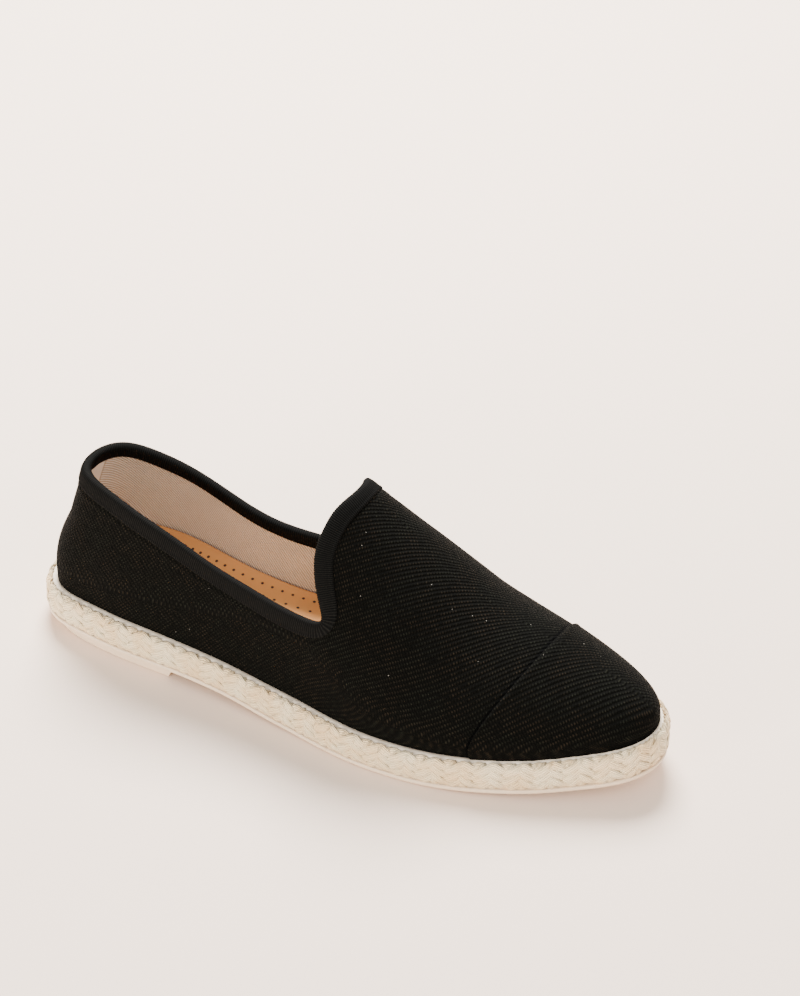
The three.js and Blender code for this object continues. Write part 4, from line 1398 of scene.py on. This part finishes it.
# Outsole's section: inset, the height that it follows and the rise over that
OUTSOLE_SECTION = [
    (TREAD_INSET + RIM_WIDTH + 0.3, tread_height, GROOVE_DEPTH),
    (TREAD_INSET + RIM_WIDTH, tread_height, 0.1),
    (TREAD_INSET + RIM_WIDTH - 0.2, tread_height, 0.0),
    (TREAD_INSET, tread_height, 0.0),
    (TREAD_INSET - 1.4, tread_height, 0.2),
    (LIP_INSET + 0.3, tread_height, 0.55),
    (LIP_INSET, tread_height, 1.0),
    (LIP_INSET, braid_bottom, -0.25),
    (LIP_INSET + 0.25, braid_bottom, 0.0),
    (TREAD_INSET, braid_bottom, 0.0),
]


def build_outsole():
    """Rubber sole with its rim, rounded lip and recessed middle."""
    rings = [ring(inset, lambda x: base(x) + rise) for inset, base, rise in OUTSOLE_SECTION]
    points, faces = stack_of_rings(rings)
    add_piece("rubber_outsole", points, faces, rubber, ["outsole"])


def heel_inset(angle):
    backness = np.maximum(0, 1 - (1 - np.cos(angle)) / 2 / HEEL_BACK_SHARE) ** 2
    return HEEL_BLOCK_INSET + (HEEL_BACK_INSET - HEEL_BLOCK_INSET) * backness


def build_heel():
    """Heel block with a flat slanted breast and a recessed underside."""
    rings = []
    for inset, z in HEEL_SECTION:
        front = -SOLE_LENGTH / 2 + HEEL_BLOCK_LENGTH + HEEL_BREAST_SLANT * z / HEEL_BLOCK_HEIGHT
        front -= inset if inset > 1 else 0
        reach = math.acos(1 - 2 * (front / SOLE_LENGTH + 0.5))
        angle = -reach + 2 * reach * np.arange(HEEL_COLUMNS) / (HEEL_COLUMNS - 1)
        plan = outline_at(angle % (2 * math.pi), heel_inset(angle) + inset)
        rings.append(np.column_stack([np.minimum(plan[:, 0], front), plan[:, 1], np.full(HEEL_COLUMNS, z)]))
    faces = grid_faces(len(rings), HEEL_COLUMNS, close_rows=False, close_columns=True)
    faces = np.roll(faces, 1, 1).tolist()
    for row, flip in ((0, False), (len(rings) - 1, True)):
        base = row * HEEL_COLUMNS
        end = base + HEEL_COLUMNS - 1
        for i in range(HEEL_COLUMNS // 2):
            face = list(dict.fromkeys([base + i, base + i + 1, end - 1 - i, end - i]))
            faces.append(face[::-1] if flip else face)
    add_piece("heel_block", np.concatenate(rings), faces, rubber, smooth=False)


def bar(line, low, high):
    """Closed bar with a flat face along a line in plan; low and high give its height at each x."""
    tangent = unit(np.gradient(line, axis=0))
    side = np.stack([-tangent[:, 1], tangent[:, 0]], -1)
    rows = []
    for across, height in ((-0.5, high), (-RIB_FACE_HALF, low), (RIB_FACE_HALF, low), (0.5, high)):
        plan = line + side * across * RIB_WIDTH
        rows.append(np.column_stack([plan, height(plan[:, 0])]))
    sides = grid_faces(len(line), 4, close_rows=False, close_columns=True).tolist()
    last = 4 * len(line) - 4
    return np.stack(rows, 1), sides + [[0, 1, 2, 3], [last + 3, last + 2, last + 1, last]]


def inside_outline(line, inset):
    """Whether points in plan are inside the outline moved in by an inset at each turn."""
    turn = np.arccos(np.clip(1 - 2 * share_at(line[:, 0]), -1, 1))
    low_side = outline_at(turn, inset(turn))[:, 1]
    high_side = outline_at(2 * math.pi - turn, inset(turn))[:, 1]
    return (line[:, 1] > low_side) & (line[:, 1] < high_side)


def forefoot_bars():
    bars = []
    waist_end = -SOLE_LENGTH / 2 + HEEL_BLOCK_LENGTH + WAIST_LENGTH
    y = np.linspace(-TREAD_HALF, TREAD_HALF, TREAD_POINTS)
    swing = TREAD_SWING * np.sin(y / TREAD_HALF * math.pi * TREAD_HALF_WAVES) + TREAD_SLANT * y
    for i in range(TREAD_RIBS):
        line = np.stack([waist_end - TREAD_LEAD + i * TREAD_PITCH + swing, y], -1)
        keep = inside_outline(line, lambda turn: 0 * turn + TREAD_INSET + RIM_WIDTH + RIB_ROOT)
        keep &= (line[:, 0] > waist_end) & (share_at(line[:, 0]) < TREAD_END_SHARE)
        runs = np.nonzero(keep)[0]
        if len(runs) >= SHORTEST_RUN:
            bars.append(bar(line[runs[0]:runs[-1] + 1], tread_height,
                            lambda x: tread_height(x) + GROOVE_DEPTH + RIB_ROOT))
    return bars


def heel_bars():
    bars = []
    heel_back = -SOLE_LENGTH / 2
    centre = np.array([heel_back + HEEL_BLOCK_LENGTH - HEEL_ARC_FRONT, HEEL_ARC_SIDE])
    phi = np.linspace(math.pi / 2, 3 * math.pi / 2, HEEL_ARC_POINTS)
    circle = np.stack([np.cos(phi), np.sin(phi)], -1)
    for i in range(HEEL_ARCS):
        line = centre + (HEEL_ARC_FIRST + i * HEEL_ARC_PITCH) * circle
        keep = inside_outline(line, lambda turn: HEEL_ARC_INSET + heel_inset(turn))
        runs = np.nonzero(keep & (line[:, 0] > heel_back + HEEL_ARC_BACK))[0]
        for run in np.split(runs, np.nonzero(np.diff(runs) > 1)[0] + 1):
            if len(run) >= SHORTEST_RUN:
                bars.append(bar(line[run], lambda x: 0 * x + HEEL_ARC_LIFT,
                                lambda x: 0 * x + GROOVE_DEPTH + RIB_ROOT))
    return bars


def build_tread():
    """S-shaped bars across the forefoot and arcs under the heel."""
    points, faces = joined(forefoot_bars() + heel_bars())
    add_piece("tread_bars", points, faces, rubber, smooth=False)


def build_camera():
    a, e, r = (math.radians(v) for v in (CAMERA_AZIMUTH, CAMERA_ELEVATION, CAMERA_ROLL))
    right = np.array([math.cos(a), math.sin(a), 0])
    up = np.array([-math.sin(a) * math.sin(e), math.cos(a) * math.sin(e), math.cos(e)])
    back = np.array([math.sin(a) * math.cos(e), -math.cos(a) * math.cos(e), math.sin(e)])
    turned_right = math.cos(r) * right + math.sin(r) * up
    turned_up = -math.sin(r) * right + math.cos(r) * up
    data = bpy.data.cameras.new("camera")
    data.lens = CAMERA_LENS
    data.sensor_width = SENSOR_WIDTH
    camera = bpy.data.objects.new("camera", data)
    matrix = Matrix.Identity(4)
    for i in range(3):
        matrix[i][0] = turned_right[i]
        matrix[i][1] = turned_up[i]
        matrix[i][2] = back[i]
        matrix[i][3] = CAMERA_PLACE[i] / MILLIMETRES
    camera.matrix_world = matrix
    bpy.context.scene.collection.objects.link(camera)
    bpy.context.scene.camera = camera


FLOOR_HALF = 3.0
WORLD_COLOR = (1.0, 0.985, 0.965, 1)
WORLD_STRENGTH = 0.78
LIGHT_TARGET = (0, 0, 0.03)
# Lights: place, size, power and colour
LIGHTS = {
    "key": ((-0.42, 0.78, 1.2), 0.8, 96, (1, 0.965, 0.92)),
    "fill": ((0.9, -0.6, 1.2), 1.2, 10, (1, 0.95, 0.90)),
    "front": ((-0.5, -1.55, 0.29), 0.5, 34, (1, 0.95, 0.87)),
}


def add_light(name, place, size, power, color):
    data = bpy.data.lights.new(name, "AREA")
    data.shape = "DISK"
    data.size = size
    data.energy = power
    data.color = color
    lamp = bpy.data.objects.new(name, data)
    lamp.location = place
    lamp.rotation_euler = (Vector(LIGHT_TARGET) - Vector(place)).to_track_quat("-Z", "Y").to_euler()
    bpy.context.scene.collection.objects.link(lamp)


def build_stage():
    """Plain pale floor, even surroundings and three soft lights."""
    mesh = bpy.data.meshes.new("floor")
    corners = [(x * FLOOR_HALF, y * FLOOR_HALF, 0) for x, y in ((-1, -1), (1, -1), (1, 1), (-1, 1))]
    mesh.from_pydata(corners, [], [(0, 1, 2, 3)])
    mesh.materials.append(Shader("floor", "floor", 0.9, Specular_IOR_Level=0.15).material)
    floor = bpy.data.objects.new("floor", mesh)
    bpy.context.scene.collection.objects.link(floor)
    world = bpy.data.worlds.new("world")
    world.use_nodes = True
    world.node_tree.nodes["Background"].inputs[0].default_value = WORLD_COLOR
    world.node_tree.nodes["Background"].inputs[1].default_value = WORLD_STRENGTH
    bpy.context.scene.world = world
    for name, values in LIGHTS.items():
        add_light(name, *values)


build_camera()
build_stage()
build_upper()
build_toe_cap()
build_ribbon()
build_sock()
build_sock_holes()
build_ledge()
build_braid()
build_top_loops()
build_braid_core()
build_hairs()
build_outsole()
build_heel()
build_tread()

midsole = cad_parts["midsole"]
midsole.data.materials.clear()
midsole.data.materials.append(ledge)
